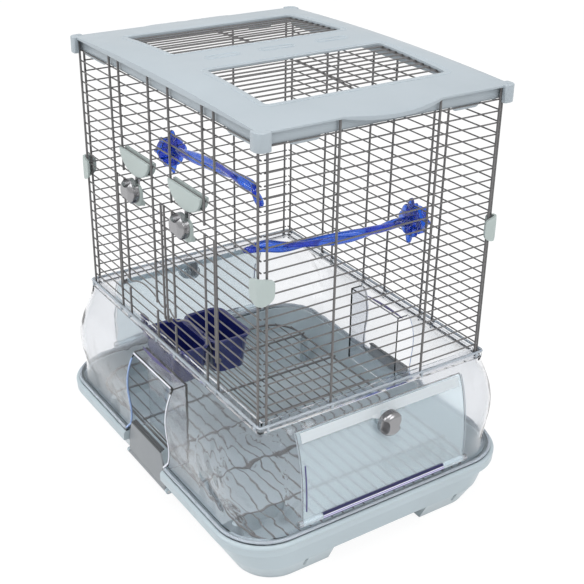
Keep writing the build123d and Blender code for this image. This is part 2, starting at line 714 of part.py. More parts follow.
with BuildPart() as roof_frame:
    arch(roof_half_x, roof_half_y, roof_crown, roof_edge_high, roof_low)
    fillet(roof_frame.edges().filter_by(Axis.Z), roof_corner)
    for side in (-1, 1):
        with BuildSketch(Plane.XY.offset(roof_low - lip_drop)):
            with BuildLine():
                Line((side * (outer_x + part_gap), lip_half_y), (side * (outer_x + part_gap), -lip_half_y))
                Line((side * (outer_x + part_gap), -lip_half_y), (side * roof_half_x, -lip_half_y))
                ThreePointArc((side * roof_half_x, -lip_half_y), (side * (roof_half_x + lip_reach), 0),
                              (side * roof_half_x, lip_half_y))
                Line((side * roof_half_x, lip_half_y), (side * (outer_x + part_gap), lip_half_y))
            make_face()
        extrude(amount=lip_drop + roof_edge_high - roof_low)
    hollow_edge = roof_under(skirt_x - skirt_sheet)
    arch(skirt_x - skirt_sheet, skirt_y - skirt_sheet, roof_crown - roof_sheet, hollow_edge, roof_low,
         Mode.SUBTRACT)
    with BuildSketch(Plane.XY.offset(skirt_low)):
        Rectangle(2 * skirt_x, 2 * skirt_y)
        Rectangle(2 * (skirt_x - skirt_sheet), 2 * (skirt_y - skirt_sheet), mode=Mode.SUBTRACT)
    extrude(amount=roof_low - skirt_low)
    for side_x in (-1, 1):
        for side_y in (-1, 1):
            low_y, high_y = sorted((side_y * (skirt_y - skirt_sheet), side_y * skirt_y))
            slab((side_x * tab_long_x - tab_long_width / 2, low_y, skirt_low - tab_drop),
                 (side_x * tab_long_x + tab_long_width / 2, high_y, skirt_low))
            low_x, high_x = sorted((side_x * (skirt_x - skirt_sheet), side_x * skirt_x))
            slab((low_x, side_y * tab_short_y - tab_short_width / 2, skirt_low - tab_drop),
                 (high_x, side_y * tab_short_y + tab_short_width / 2, skirt_low))
            with BuildSketch(Plane.XY.offset(roof_low - leg_depth)):
                with BuildLine():
                    leg_in_x = side_x * (outer_x + part_gap)
                    leg_in_y = side_y * (outer_y + part_gap)
                    far_x = side_x * (outer_x + ear_reach)
                    far_y = side_y * (outer_y + ear_reach)
                    back_x = far_x - side_x * leg_length
                    back_y = far_y - side_y * leg_length
                    Polyline((back_x, leg_in_y), (leg_in_x, leg_in_y), (leg_in_x, back_y), (far_x, back_y),
                             (far_x, far_y - side_y * ear_round))
                    bulge = ear_round * (1 - math.sqrt(0.5))
                    ThreePointArc((far_x, far_y - side_y * ear_round),
                                  (far_x - side_x * bulge, far_y - side_y * bulge),
                                  (far_x - side_x * ear_round, far_y))
                    Polyline((far_x - side_x * ear_round, far_y), (back_x, far_y), (back_x, leg_in_y))
                make_face()
            extrude(amount=leg_depth + roof_edge)
    window_width = window_outer_x - window_inner_x
    with BuildSketch(Plane.XY.offset(roof_low)):
        with Locations([(side * (window_inner_x + window_outer_x) / 2, 0) for side in (-1, 1)]):
            RectangleRounded(window_width, 2 * window_half_y, window_radius)
    extrude(amount=roof_crown - roof_low + cut_past, mode=Mode.SUBTRACT)
    with BuildSketch(Plane.XY.offset(roof_crown - roof_sheet / 2)):
        with Locations([(rib_step * number, 0) for number in (-1, 0, 1)]):
            SlotOverall(rib_length, rib_width, rotation=90)
    extrude(amount=roof_sheet / 2 + rib_height)
save(roof_frame, "roof_frame")

for side, side_name in ((-1, "left"), (1, "right")):
    with BuildPart() as roof_grille:
        gap = (window_width - 2 * roof_wire_rest) / (roof_wire_count - 1)
        for number in range(roof_wire_count):
            x = window_inner_x + roof_wire_rest + gap * number
            z = roof_under(x) - roof_wire / 2 - weld_gap
            end = window_half_y + roof_wire_rest
            rod((side * x, -end, z), (side * x, end, z), roof_wire)
        for y in (-window_half_y - roof_wire_rest / 2, 0, window_half_y + roof_wire_rest / 2):
            ends = []
            for x in (window_inner_x, (window_inner_x + window_outer_x) / 2, window_outer_x):
                ends.append((side * x, y, roof_under(x) - roof_wire - roof_cross_wire / 2 - 3 * weld_gap))
            with BuildLine() as cross_line:
                ThreePointArc(*ends)
            with BuildSketch(Plane(origin=ends[0], z_dir=cross_line.line % 0)):
                Circle(roof_cross_wire / 2)
            sweep(path=cross_line.line)
    save(roof_grille, f"roof_grille_{side_name}")

# Corner clips over the end wires of two panels
for side_x, name_x in ((-1, "left"), (1, "right")):
    for side_y, name_y in ((-1, "front"), (1, "back")):
        with BuildPart() as corner_clip:
            near_x = side_x * cage_half_x
            near_y = side_y * cage_half_y
            far_x = side_x * (outer_x + clip_sheet)
            far_y = side_y * (outer_y + clip_sheet)
            back_x = far_x - side_x * clip_reach
            back_y = far_y - side_y * clip_reach
            with BuildSketch(Plane.XY.offset(clip_low)):
                with BuildLine():
                    Polyline((back_x, near_y), (near_x, near_y), (near_x, back_y), (far_x, back_y),
                             (far_x, far_y), (back_x, far_y), close=True)
                make_face()
            extrude(amount=clip_height)
            fillet(corner_clip.edges().filter_by(Axis.Z).sort_by_distance((far_x, far_y, clip_low))[0],
                   clip_sheet * 1.5)
            bore = upright_wire + 2 * clip_play
            rod((side_x * long_uprights[0], near_y, clip_low),
                (side_x * long_uprights[0], near_y, clip_low + clip_height), bore, Mode.SUBTRACT)
            rod((near_x, side_y * short_uprights[0], clip_low),
                (near_x, side_y * short_uprights[0], clip_low + clip_height), bore, Mode.SUBTRACT)
        save(corner_clip, f"corner_clip_{name_y}_{name_x}")


# Perches, each with a disc inside the wires and a nut outside
def make_perch(name, mount, inward, up_from, middle, tip):
    """Arm from its mount disc to its tip, with a stud through the wires and a nut outside."""
    mount_plane = Plane(origin=mount, x_dir=Vector(0, 0, 1).cross(Vector(*inward)), z_dir=inward)
    stud_length = level_wire + upright_wire + 2 * part_gap + perch_nut_depth
    with BuildPart() as perch:
        with BuildSketch(mount_plane):
            Circle(perch_disc / 2)
            RectangleRounded(perch_tab_width, perch_tab_length, perch_tab_round)
        extrude(amount=perch_disc_depth)
        with BuildSketch(mount_plane):
            Circle(perch_stud / 2)
        extrude(amount=-stud_length)
        with BuildLine() as arm_line:
            ThreePointArc(up_from, middle, tip)
        with BuildSketch(Plane(origin=up_from, z_dir=arm_line.line % 0)):
            Circle(perch_arm / 2)
        sweep(path=arm_line.line)
        with BuildSketch(Plane(origin=tip, z_dir=arm_line.line % 1)):
            Circle(perch_arm / 2)
        extrude(amount=perch_tip_length, taper=perch_tip_angle)
    save(perch, f"perch_{name}")

    nut_start = level_wire + upright_wire + 2 * part_gap
    with BuildPart() as perch_nut_part:
        with BuildSketch(mount_plane.offset(-nut_start)):
            Circle(perch_nut / 2)
            with PolarLocations(perch_nut / 2, perch_nut_lobes):
                Circle(perch_nut_lobe / 2)
            Circle(perch_stud / 2 + knob_play, mode=Mode.SUBTRACT)
        extrude(amount=-perch_nut_depth)
    save(perch_nut_part, f"perch_nut_{name}")


left_z = row_z(perch_left_row) + row_pitch / 2
left_x = -(inner_x - part_gap)
left_root = left_x + perch_disc_depth - perch_root
make_perch(
    "left", (left_x, perch_left_y, left_z), (1, 0, 0), (left_root, perch_left_y, left_z),
    ((left_root + perch_left_tip_x) / 2, perch_left_y, left_z + perch_left_rise),
    (perch_left_tip_x, perch_left_y, left_z + perch_left_tip_rise),
)
back_z = row_z(perch_back_row) + row_pitch / 2
back_y = inner_y - part_gap
back_root = back_y - perch_disc_depth + perch_root
make_perch(
    "back", (perch_back_x, back_y, back_z), (0, -1, 0), (perch_back_x, back_root, back_z),
    (perch_back_x, (back_root + perch_back_tip_y) / 2, back_z + perch_back_rise),
    (perch_back_x, perch_back_tip_y, back_z + perch_back_tip_rise),
)

# Feeder cups, one behind the other
cup_mid_x = (cup_left + cup_right) / 2
cup_half_x = (cup_right - cup_left) / 2
near_cup_y = -(channel_inner_y - channel_wall - part_gap) + cup_lip + cup_length / 2 + hook_sheet
far_cup_y = near_cup_y + cup_length + 2 * cup_lip + part_gap


def cup_sections(y, low, inset=0.0):
    """Cup outline at its foot and at its mouth."""
    sections = []
    for z, draft in ((low, cup_draft), (cup_top, 0.0)):
        with BuildSketch(Plane((cup_mid_x, y, z)), mode=Mode.PRIVATE) as ring:
            RectangleRounded(
                2 * (cup_half_x - draft - inset), cup_length - 2 * (draft + inset), cup_radius - inset
            )
        sections.append(ring.sketch)
    return sections


for cup_name, cup_y in (("near", near_cup_y), ("far", far_cup_y)):
    with BuildPart() as feeder_cup:
        loft(sections=cup_sections(cup_y, cup_top - cup_depth))
        with BuildSketch(Plane((cup_mid_x, cup_y, cup_top - cup_lip_sheet))):
            RectangleRounded(2 * (cup_half_x + cup_lip), cup_length + 2 * cup_lip, cup_radius + cup_lip)
        extrude(amount=cup_lip_sheet)
        loft(sections=cup_sections(cup_y, cup_top - cup_depth + cup_wall, cup_wall), mode=Mode.SUBTRACT)
        lip_y = cup_y - cup_length / 2 - cup_lip
        if cup_name == "near":
            for hook_x in (cup_mid_x - cup_half_x / 2, cup_mid_x + cup_half_x / 2):
                slab((hook_x - hook_width / 2, lip_y - hook_sheet, cup_top - cup_lip_sheet),
                     (hook_x + hook_width / 2, lip_y, channel_high + slide_gap + hook_sheet))
                slab((hook_x - hook_width / 2, -channel_inner_y + part_gap, channel_high + slide_gap),
                     (hook_x + hook_width / 2, lip_y, channel_high + slide_gap + hook_sheet))
        else:
            slab((cup_mid_x - hook_width, lip_y - cup_lip - part_gap, cup_top + part_gap),
                 (cup_mid_x + hook_width, lip_y + cup_lip, cup_top + part_gap + hook_sheet))
            slab((cup_mid_x - hook_width, lip_y, cup_top - cup_lip_sheet),
                 (cup_mid_x + hook_width, lip_y + cup_lip, cup_top + part_gap + hook_sheet))
    save(feeder_cup, f"feeder_cup_{cup_name}")
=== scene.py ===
import json
import math
import random

import bmesh
import bpy
from mathutils import Matrix, Vector
from mathutils.bvhtree import BVHTree


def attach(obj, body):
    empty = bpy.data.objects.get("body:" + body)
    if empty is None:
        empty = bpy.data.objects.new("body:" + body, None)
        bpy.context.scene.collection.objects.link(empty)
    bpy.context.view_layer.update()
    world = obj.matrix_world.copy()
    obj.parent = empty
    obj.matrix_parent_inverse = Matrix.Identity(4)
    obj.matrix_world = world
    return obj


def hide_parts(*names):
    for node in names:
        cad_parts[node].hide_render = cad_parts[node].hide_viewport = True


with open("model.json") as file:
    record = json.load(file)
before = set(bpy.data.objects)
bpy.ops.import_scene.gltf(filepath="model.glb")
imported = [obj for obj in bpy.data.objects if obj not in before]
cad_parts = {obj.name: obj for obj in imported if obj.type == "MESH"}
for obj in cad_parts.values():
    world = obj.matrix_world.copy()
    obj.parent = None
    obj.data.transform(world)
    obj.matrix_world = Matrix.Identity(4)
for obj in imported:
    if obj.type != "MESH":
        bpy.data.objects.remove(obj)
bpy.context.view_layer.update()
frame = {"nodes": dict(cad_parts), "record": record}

nodes = frame["nodes"]
MM = 0.001

# Camera, solved from the corners and wires of the cage in the photograph
PHOTO_SIZE = 584
FOCAL_PIXELS = 1104.4
SENSOR_MM = 36.0
CAMERA_PLACE = Vector((0.96726, -0.62762, 0.80270))
CAMERA_RIGHT = Vector((0.55128, 0.83420, 0.01434))
CAMERA_UP = Vector((-0.38412, 0.23852, 0.89194))

# Colours, as linear light
TRAY_PALE = (0.43, 0.50, 0.535)
ROOF_PALE = (0.375, 0.425, 0.46)
CLIP_PALE = (0.41, 0.47, 0.455)
WIRE_GREY = (0.135, 0.13, 0.13)
SILVER = (0.34, 0.34, 0.35)
CLEAR_TINT = (0.905, 0.915, 0.935)
SHADOW_TINT = (0.975, 0.98, 0.99)
HATCH_TINT = (0.80, 0.88, 0.92)
LATCH_GREY = (0.25, 0.265, 0.28)
LEDGE_GREY = (0.075, 0.08, 0.085)
PERCH_BLUE = (0.035, 0.15, 0.74)
CUP_INDIGO = (0.011, 0.016, 0.115)
VIOLET = (0.30, 0.27, 0.52)
DARK_VIOLET = (0.045, 0.035, 0.16)
NAVY = (0.006, 0.006, 0.060)
# white of the painted highlights along clear edges and bands
HIGHLIGHT_WHITE = (0.86, 0.88, 0.95)
# grey-blue of the painted highlight along the guard's flange and channel bead
FLANGE_HIGHLIGHT = (0.56, 0.62, 0.68)
FROST = (0.80, 0.85, 0.88)
# pale blue of the painted highlights on one edge of each recess
HIGHLIGHT_BLUE = (0.38, 0.52, 0.82)
STEEL = (0.55, 0.55, 0.56)
FLOOR_WHITE = (0.95, 0.95, 0.95)
SKY_WHITE = (0.97, 0.985, 1.0)

# Sizes shared with the part, in millimetres. X runs along the long sides, and the feeder doors face -Y.
PART_GAP = 0.35
UPRIGHT_R = 1.3
LEVEL_R = 0.8
LONG_UPRIGHTS = (190.0, 112.4, 90.2, 21.6)
SHORT_UPRIGHTS = (137.0, 59.1)
CAGE_BOTTOM = 187.0
ROW_PITCH = 12.2
OUTER_X, OUTER_Y = 195.8, 145.3      # outer faces of the upright wires
INNER_X, INNER_Y = 191.55, 141.05    # inner faces of the level wires
PANEL_Y = 144.0                      # middle of the uprights in a long panel
LEVEL_Y = 141.85                     # middle of the level wires in a long panel
DOOR_NEAR, DOOR_FAR = 3.4, 109.4
DOOR_UPRIGHTS = (21.6, 90.2)
HINGE_ROW, DOOR_LOW_ROW, DOOR_HIGH_ROW = 3, 4, 14
ROOF_X, ROOF_Y = 197.8, 147.3
ROOF_LOW = 493.15
ROOF_EDGE = 495.15
ROOF_RISE = 11.0
ROOF_LIP = 10.0
WINDOW_NEAR, WINDOW_FAR, WINDOW_HALF_Y = 35.0, 144.0, 107.0
RIM_X, RIM_Y, RIM_R = 228.0, 183.8, 58.0
RIM_TOP = 62.0
RECESS_X = 46.3
HATCH_ROD_X, HATCH_ROD_Z = 219.9, 74.0
CUP_X, CUP_Y = -49.0, {"near": -108.85, "far": -53.5}
CUP_LIP_X, CUP_LIP_Y, CUP_LIP_R = 41.5, 27.5, 13.0
LATCH_PIN_Y, LATCH_PIN_Z = 175.9, 33.0


def new_material(name):
    """An empty node material with a Principled shader wired to its output."""
    material = bpy.data.materials.new(name)
    material.use_nodes = True
    tree = material.node_tree
    tree.nodes.clear()
    output = tree.nodes.new("ShaderNodeOutputMaterial")
    shader = tree.nodes.new("ShaderNodeBsdfPrincipled")
    tree.links.new(shader.outputs["BSDF"], output.inputs["Surface"])
    return material, tree, shader, output


def noise(tree, scale, detail=2.0):
    """Noise over the object's own space."""
    place = tree.nodes.new("ShaderNodeTexCoord")
    texture = tree.nodes.new("ShaderNodeTexNoise")
    texture.inputs["Scale"].default_value = scale
    texture.inputs["Detail"].default_value = detail
    tree.links.new(place.outputs["Object"], texture.inputs["Vector"])
    return texture.outputs["Fac"]


def stretch(tree, source, from_low, from_high, to_low=0.0, to_high=1.0):
    """One range of numbers stretched to another."""
    remap = tree.nodes.new("ShaderNodeMapRange")
    remap.inputs["From Min"].default_value = from_low
    remap.inputs["From Max"].default_value = from_high
    remap.inputs["To Min"].default_value = to_low
    remap.inputs["To Max"].default_value = to_high
    tree.links.new(source, remap.inputs["Value"])
    return remap.outputs["Result"]


def spread(tree, source, low, high):
    """Noise, which keeps near its middle, stretched to a range of numbers."""
    noise_low, noise_high = 0.3, 0.7
    return stretch(tree, source, noise_low, noise_high, low, high)


def calculate(tree, operation, first, second, clamp=False):
    """Arithmetic on two values, each a number or another node's output."""
    node = tree.nodes.new("ShaderNodeMath")
    node.operation = operation
    node.use_clamp = clamp
    for value, socket in zip((first, second), node.inputs):
        if isinstance(value, (int, float)):
            socket.default_value = value
        else:
            tree.links.new(value, socket)
    return node.outputs["Value"]


def blend_colours(tree, source, first, second):
    """Mix two colours by a noise."""
    mix = tree.nodes.new("ShaderNodeMix")
    mix.data_type = "RGBA"
    mix.inputs[6].default_value = (*first, 1)
    mix.inputs[7].default_value = (*second, 1)
    tree.links.new(source, mix.inputs["Factor"])
    return mix.outputs[2]


def mix_shaders(tree, share, first, second, output):
    """Mix two shaders by a share, into the material's output."""
    mix = tree.nodes.new("ShaderNodeMixShader")
    tree.links.new(share, mix.inputs["Fac"])
    tree.links.new(first, mix.inputs[1])
    tree.links.new(second, mix.inputs[2])
    tree.links.new(mix.outputs["Shader"], output.inputs["Surface"])


def add_bump(tree, height, strength, distance):
    """Bump node on a height."""
    bump = tree.nodes.new("ShaderNodeBump")
    bump.inputs["Strength"].default_value = strength
    bump.inputs["Distance"].default_value = distance
    tree.links.new(height, bump.inputs["Height"])
    return bump


def shaded(colour, share):
    """A colour made lighter or darker."""
    return tuple(min(1.0, part * share) for part in colour)


def plastic(name, colour, roughness=0.38, mottle=0.04, grain=0.00004, grain_scale=1800.0, coat=0.0):
    """Moulded plastic: faint mottling, uneven gloss and a fine grain."""
    cloud_scale, gloss_scale, gloss_detail = 9.0, 35.0, 4.0
    smoother, rougher = 0.05, 0.06
    bump_strength, coat_roughness = 0.35, 0.12
    material, tree, shader, _ = new_material(name)
    cloud = spread(tree, noise(tree, cloud_scale), 0.0, 1.0)
    colours = blend_colours(tree, cloud, shaded(colour, 1 - mottle), shaded(colour, 1 + mottle))
    tree.links.new(colours, shader.inputs["Base Color"])
    gloss = noise(tree, gloss_scale, gloss_detail)
    tree.links.new(spread(tree, gloss, roughness - smoother, roughness + rougher), shader.inputs["Roughness"])
    bump = add_bump(tree, noise(tree, grain_scale), bump_strength, grain)
    tree.links.new(bump.outputs["Normal"], shader.inputs["Normal"])
    shader.inputs["Coat Weight"].default_value = coat
    shader.inputs["Coat Roughness"].default_value = coat_roughness
    return material


def metal(name, colour, roughness):
    """Metal or metallic paint with fine uneven gloss."""
    material = plastic(name, colour, roughness, mottle=0.06, grain=0.00002, grain_scale=400.0)
    shader = material.node_tree.nodes["Principled BSDF"]
    shader.inputs["Metallic"].default_value = 1.0
    return material


def add_corner_waves(tree, bump, depth):
    """Waves in the moulding at two opposite bends, where x times y is most negative."""
    wave_scale = 55.0
    starts, full = 0.020, 0.028      # of minus x times y, in square metres
    place = tree.nodes.new("ShaderNodeTexCoord")
    split = tree.nodes.new("ShaderNodeSeparateXYZ")
    tree.links.new(place.outputs["Object"], split.inputs["Vector"])
    product = calculate(tree, "MULTIPLY", split.outputs["X"], split.outputs["Y"])
    share = stretch(tree, calculate(tree, "MULTIPLY", product, -1.0), starts, full)
    height = calculate(tree, "MULTIPLY", share, noise(tree, wave_scale, 0.0))
    waves = add_bump(tree, height, 1.0, depth)
    tree.links.new(waves.outputs["Normal"], bump.inputs["Normal"])


def clear(name, tint, roughness=0.03, ior=1.46, ripple=0.00012, ripple_scale=18.0, through=1.0,
          shadow=None, corner_waves=0.0, coat=0.0):
    """Clear moulded plastic that lets the lamps through."""
    cloud_scale, cloud_share = 12.0, 0.985
    gloss_scale, gloss_detail, rougher = 60.0, 3.0, 0.03
    bump_strength, bump_detail = 0.4, 1.0
    material, tree, shader, output = new_material(name)
    colours = blend_colours(tree, noise(tree, cloud_scale), shaded(tint, cloud_share), tint)
    tree.links.new(colours, shader.inputs["Base Color"])
    gloss = noise(tree, gloss_scale, gloss_detail)
    tree.links.new(spread(tree, gloss, roughness, roughness + rougher), shader.inputs["Roughness"])
    shader.inputs["Transmission Weight"].default_value = through
    shader.inputs["Coat Weight"].default_value = coat
    shader.inputs["IOR"].default_value = ior
    bump = add_bump(tree, noise(tree, ripple_scale, bump_detail), bump_strength, ripple)
    tree.links.new(bump.outputs["Normal"], shader.inputs["Normal"])
    if corner_waves:
        add_corner_waves(tree, bump, corner_waves)
    open_shader = tree.nodes.new("ShaderNodeBsdfTransparent")
    open_shader.inputs["Color"].default_value = (*(shadow or tint), 1)
    path = tree.nodes.new("ShaderNodeLightPath")
    mix_shaders(tree, path.outputs["Is Shadow Ray"], shader.outputs["BSDF"], open_shader.outputs["BSDF"],
                output)
    return material


def pale_translucent(name, tint, roughness=0.2, through=0.15):
    """Pale plastic that lets part of the light through: the frosted band, and the painted highlights along
    clear edges and bands.
    """
    material = plastic(name, tint, roughness, mottle=0.03, coat=0.4)
    shader = material.node_tree.nodes["Principled BSDF"]
    shader.inputs["Transmission Weight"].default_value = through
    shader.inputs["IOR"].default_value = 1.35
    return material


MATERIALS = {
    "tray_plastic": plastic("tray plastic", TRAY_PALE, roughness=0.33),
    "roof_plastic": plastic("roof plastic", ROOF_PALE, roughness=0.36),
    "pale_plastic": plastic("pale plastic", CLIP_PALE, roughness=0.42),
    "wire": plastic("powder coated wire", WIRE_GREY, roughness=0.36, mottle=0.10, grain=0.00003),
    "steel_pin": metal("plain steel", STEEL, roughness=0.32),
    "silver_plastic": metal("silver paint", SILVER, roughness=0.22),
    "clear_plastic": clear("clear plastic", CLEAR_TINT, ripple=0.0024, ripple_scale=30.0,
                           shadow=SHADOW_TINT, corner_waves=0.003),
    "latch_plastic": plastic("grey latch plastic", LATCH_GREY, roughness=0.45, mottle=0.05),
    "blue_plastic": clear("blue plastic", PERCH_BLUE, roughness=0.04, ior=1.42, through=0.86, coat=0.6),
    "cup_plastic": plastic("cup plastic", CUP_INDIGO, roughness=0.2, coat=0.5),
    "violet_plastic": plastic("violet plastic", VIOLET, roughness=0.25, coat=0.3),
    "hatch": clear("hazy plastic", HATCH_TINT, roughness=0.10, ior=1.36, ripple=0.0003, through=0.74,
                   shadow=SHADOW_TINT),
    "rod": clear("clear rod", CLEAR_TINT, ripple=0.0002, shadow=SHADOW_TINT, through=0.9),
    # pale bars painted as highlights on the clear guard's edges
    "edge_highlight": pale_translucent("painted edge highlight", HIGHLIGHT_WHITE),
    "blue_edge_highlight": pale_translucent("painted blue edge highlight", HIGHLIGHT_BLUE),
    # painted highlight along the guard's flange and on the channel bead
    "flange": pale_translucent("painted flange highlight", FLANGE_HIGHLIGHT, through=0.35),
    # painted highlight bands round the hatch's pivot bar
    "band_highlight": pale_translucent("painted band highlight", HIGHLIGHT_WHITE, roughness=0.3),
    "frost": pale_translucent("frosted band", FROST, roughness=0.45, through=0.35),
    "navy": plastic("navy band", NAVY, roughness=0.45),
    "dark_violet": plastic("dark violet tint", DARK_VIOLET, roughness=0.2, coat=0.4),
    # lighter than the roof: painted highlight on its raised lines
    "roof_line_highlight": plastic("roof line highlight", shaded(ROOF_PALE, 1.22), roughness=0.3),
    "tray_shade": plastic("shaded slot", shaded(TRAY_PALE, 0.72), roughness=0.5),
    "ledge": plastic("latch ledge", LEDGE_GREY, roughness=0.4),
}

SMOOTH_ANGLE = 35.0              # in degrees, as are the other angles of edges


def soften_edges(piece, width, angle):
    """Round the edges that are sharper than an angle."""
    soften = piece.modifiers.new("soft edges", "BEVEL")
    soften.width = width * MM
    soften.segments = 3
    soften.limit_method = "ANGLE"
    soften.angle_limit = math.radians(angle)


def shade_smooth(piece, angle=SMOOTH_ANGLE):
    """Smooth shading that stops at the edges sharper than an angle."""
    for face in piece.data.polygons:
        face.use_smooth = True
    edges = piece.modifiers.new("smooth by angle", "EDGE_SPLIT")
    edges.split_angle = math.radians(angle)


# The part's own nodes. The hatches and their rods look different from the rest of their slots.
SOFTENED = ("latch_cover", "door_latch_seat", "feeder_cup")
WELD_DISTANCE, NODE_BEVEL, NODE_BEVEL_ANGLE = 0.01, 0.8, 50
OWN_LOOKS = {"guard_hatch": "hatch", "hatch_hinge_rod": "rod"}
slot_of = {row["node"]: row["material_slot"] for row in frame["record"]["subparts"]}
for name, node in nodes.items():
    family = name.rsplit("_", 1)[0]
    node.data.materials.clear()
    node.data.materials.append(MATERIALS[OWN_LOOKS.get(family, slot_of[name])])
    if name.startswith(SOFTENED):
        joined = node.modifiers.new("joined", "WELD")
        joined.merge_threshold = WELD_DISTANCE * MM
        soften_edges(node, NODE_BEVEL, NODE_BEVEL_ANGLE)
    shade_smooth(node)


# Mesh helpers. Points are in millimetres.
def rounded_ring(half_x, half_y, radius, z, corner_steps=10, middle=(0.0, 0.0)):
    """Points round a rounded rectangle at one height."""
    points = []
    for quarter in range(4):
        sign_x = 1 if quarter in (0, 3) else -1
        sign_y = 1 if quarter < 2 else -1
        for step in range(corner_steps + 1):
            angle = math.radians(90 * quarter + 90 * step / corner_steps)
            points.append((middle[0] + sign_x * (half_x - radius) + radius * math.cos(angle),
                           middle[1] + sign_y * (half_y - radius) + radius * math.sin(angle), z))
    return points


def add_ring(mesh, points):
    """Vertices at a list of points."""
    return [mesh.verts.new(Vector(point) * MM) for point in points]


def join_rings(mesh, first, second):
    """Faces between two closed rings of points."""
    count = len(first)
    for index in range(count):
        other = (index + 1) % count
        mesh.faces.new((first[index], first[other], second[other], second[index]))


def join_all(mesh, rings, capped=True):
    """Faces between each ring and the next, and over both ends."""
    for first, second in zip(rings, rings[1:]):
        join_rings(mesh, first, second)
    if capped:
        mesh.faces.new(list(reversed(rings[0])))
        mesh.faces.new(rings[-1])


def smooth_path(points, steps):
    """Points on a smooth curve through the given ones."""
    points = [Vector(point) for point in points]
    ends = [points[0] * 2 - points[1]] + points + [points[-1] * 2 - points[-2]]
    path = []
    for index in range(len(points) - 1):
        a, b, c, d = ends[index:index + 4]
        for step in range(steps):
            t = step / steps
            path.append(0.5 * (2 * b + (c - a) * t + (2 * a - 5 * b + 4 * c - d) * t ** 2
                               + (3 * b - a - 3 * c + d) * t ** 3))
    path.append(points[-1])
    return path


def divide_path(path, step_length, closed=False):
    """Points along straight stretches, at most about one step apart."""
    points = []
    for first, second in zip(path, path[1:] + (path[:1] if closed else [])):
        first, second = Vector(first), Vector(second)
        pieces = max(1, int((second - first).length / step_length))
        points += [first.lerp(second, index / pieces) for index in range(pieces)]
    if not closed:
        points.append(Vector(path[-1]))
    return points


def side_runs(half_x, half_y, radius, z, corner_steps, keep_x):
    """Both halves of a rounded rectangle, each from the front recess round to the back one."""
    ring = rounded_ring(half_x, half_y, radius, z, corner_steps)
    runs = []
    for side in (1, -1):
        run = [point for point in ring if side * point[0] > keep_x]
        run.sort(key=lambda point: math.atan2(point[1], side * point[0]))
        runs.append([(side * keep_x, -half_y, z)] + run + [(side * keep_x, half_y, z)])
    return runs


def frames_along(path, closed=False):
    """Two normals at each point of a path, which turn as little as they can along it."""
    steep = 0.9
    count = len(path)
    tangents = []
    for index in range(count):
        before = path[(index - 1) % count] if closed or index else path[0]
        after = path[(index + 1) % count] if closed or index < count - 1 else path[-1]
        tangents.append((after - before).normalized())
    start = Vector((0, 0, 1)) if abs(tangents[0].z) < steep else Vector((1, 0, 0))
    normal = (start - tangents[0] * start.dot(tangents[0])).normalized()
    frames = []
    for tangent in tangents:
        normal = (normal - tangent * normal.dot(tangent)).normalized()
        frames.append((normal, tangent.cross(normal)))
    return frames


def add_tube(mesh, path, radius, sides=10, closed=False):
    """Round bar along a path; radius is a number or a function of the share of the path."""
    path = [Vector(point) for point in path]
    angles = [2 * math.pi * side / sides for side in range(sides)]
    rings = []
    for index, (point, (normal, binormal)) in enumerate(zip(path, frames_along(path, closed))):
        share = index / max(1, len(path) - 1)
        size = radius(share) if callable(radius) else radius
        rings.append(add_ring(mesh, [point + (normal * math.cos(angle) + binormal * math.sin(angle)) * size
                                     for angle in angles]))
    join_all(mesh, rings, capped=not closed)
    if closed:
        join_rings(mesh, rings[-1], rings[0])


def add_prism(mesh, outline, place, near, far):
    """Flat outline given thickness: place(u, v, depth) gives each point."""
    join_all(mesh, [add_ring(mesh, [place(u, v, depth) for u, v in outline]) for depth in (near, far)])


def add_sheet(mesh, grid, flipped=False):
    """Faces over a grid of vertices, wherever all four corners are there."""
    for lower, upper in zip(grid, grid[1:]):
        for index in range(len(lower) - 1):
            face = (lower[index], lower[index + 1], upper[index + 1], upper[index])
            if all(face):
                mesh.faces.new(tuple(reversed(face)) if flipped else face)


def make_piece(name, mesh, slot, body, replaced=(), bevel=0.0, wall=0.0, finer=False, look=None,
               split=SMOOTH_ANGLE):
    """Turn a mesh into a piece that rides on a body. Its look is its slot's, if no other is named."""
    bevel_angle = 40
    bmesh.ops.recalc_face_normals(mesh, faces=mesh.faces)
    data = bpy.data.meshes.new(name)
    mesh.to_mesh(data)
    mesh.free()
    data.materials.append(MATERIALS[look or slot])
    piece = bpy.data.objects.new(name, data)
    bpy.context.scene.collection.objects.link(piece)
    if wall:
        sheet = piece.modifiers.new("wall", "SOLIDIFY")
        sheet.thickness = wall * MM
        sheet.offset = -1
    if bevel:
        soften_edges(piece, bevel, bevel_angle)
    if finer:
        rounder = piece.modifiers.new("finer", "SUBSURF")
        rounder.levels = 1
        rounder.render_levels = 1
    shade_smooth(piece, split)
    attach(piece, body)
    if replaced:
        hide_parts(*replaced)
    return piece


def surface_points(node_name, outward, places, least=0.0):
    """Where rays from outside, one for each place, first meet a node's surface. None stands for a ray
    that misses it, or that meets it nearer the middle than the least distance."""
    start_x, start_y = 300.0, 260.0
    outward = Vector(outward)
    start = start_x if outward.x else start_y
    data = nodes[node_name].data
    tree = BVHTree.FromPolygons([vertex.co for vertex in data.vertices],
                                [face.vertices for face in data.polygons])
    hits = [tree.ray_cast((Vector(place) + outward * start) * MM, -outward, (start - least) * MM)[0]
            for place in places]
    return [hit / MM if hit is not None else None for hit in hits]


def add_surface_bar(mesh, node_name, outward, places, radius, sink=0.0, sides=8, least=0.0):
    """Round bar along a node's surface, sunk in a little."""
    hits = surface_points(node_name, outward, places, least)
    add_tube(mesh, [hit - Vector(outward) * sink for hit in hits if hit is not None], radius, sides)


def row_z(row):
    """Height of a level wire. The lowest one is row 0."""
    return CAGE_BOTTOM + ROW_PITCH * row


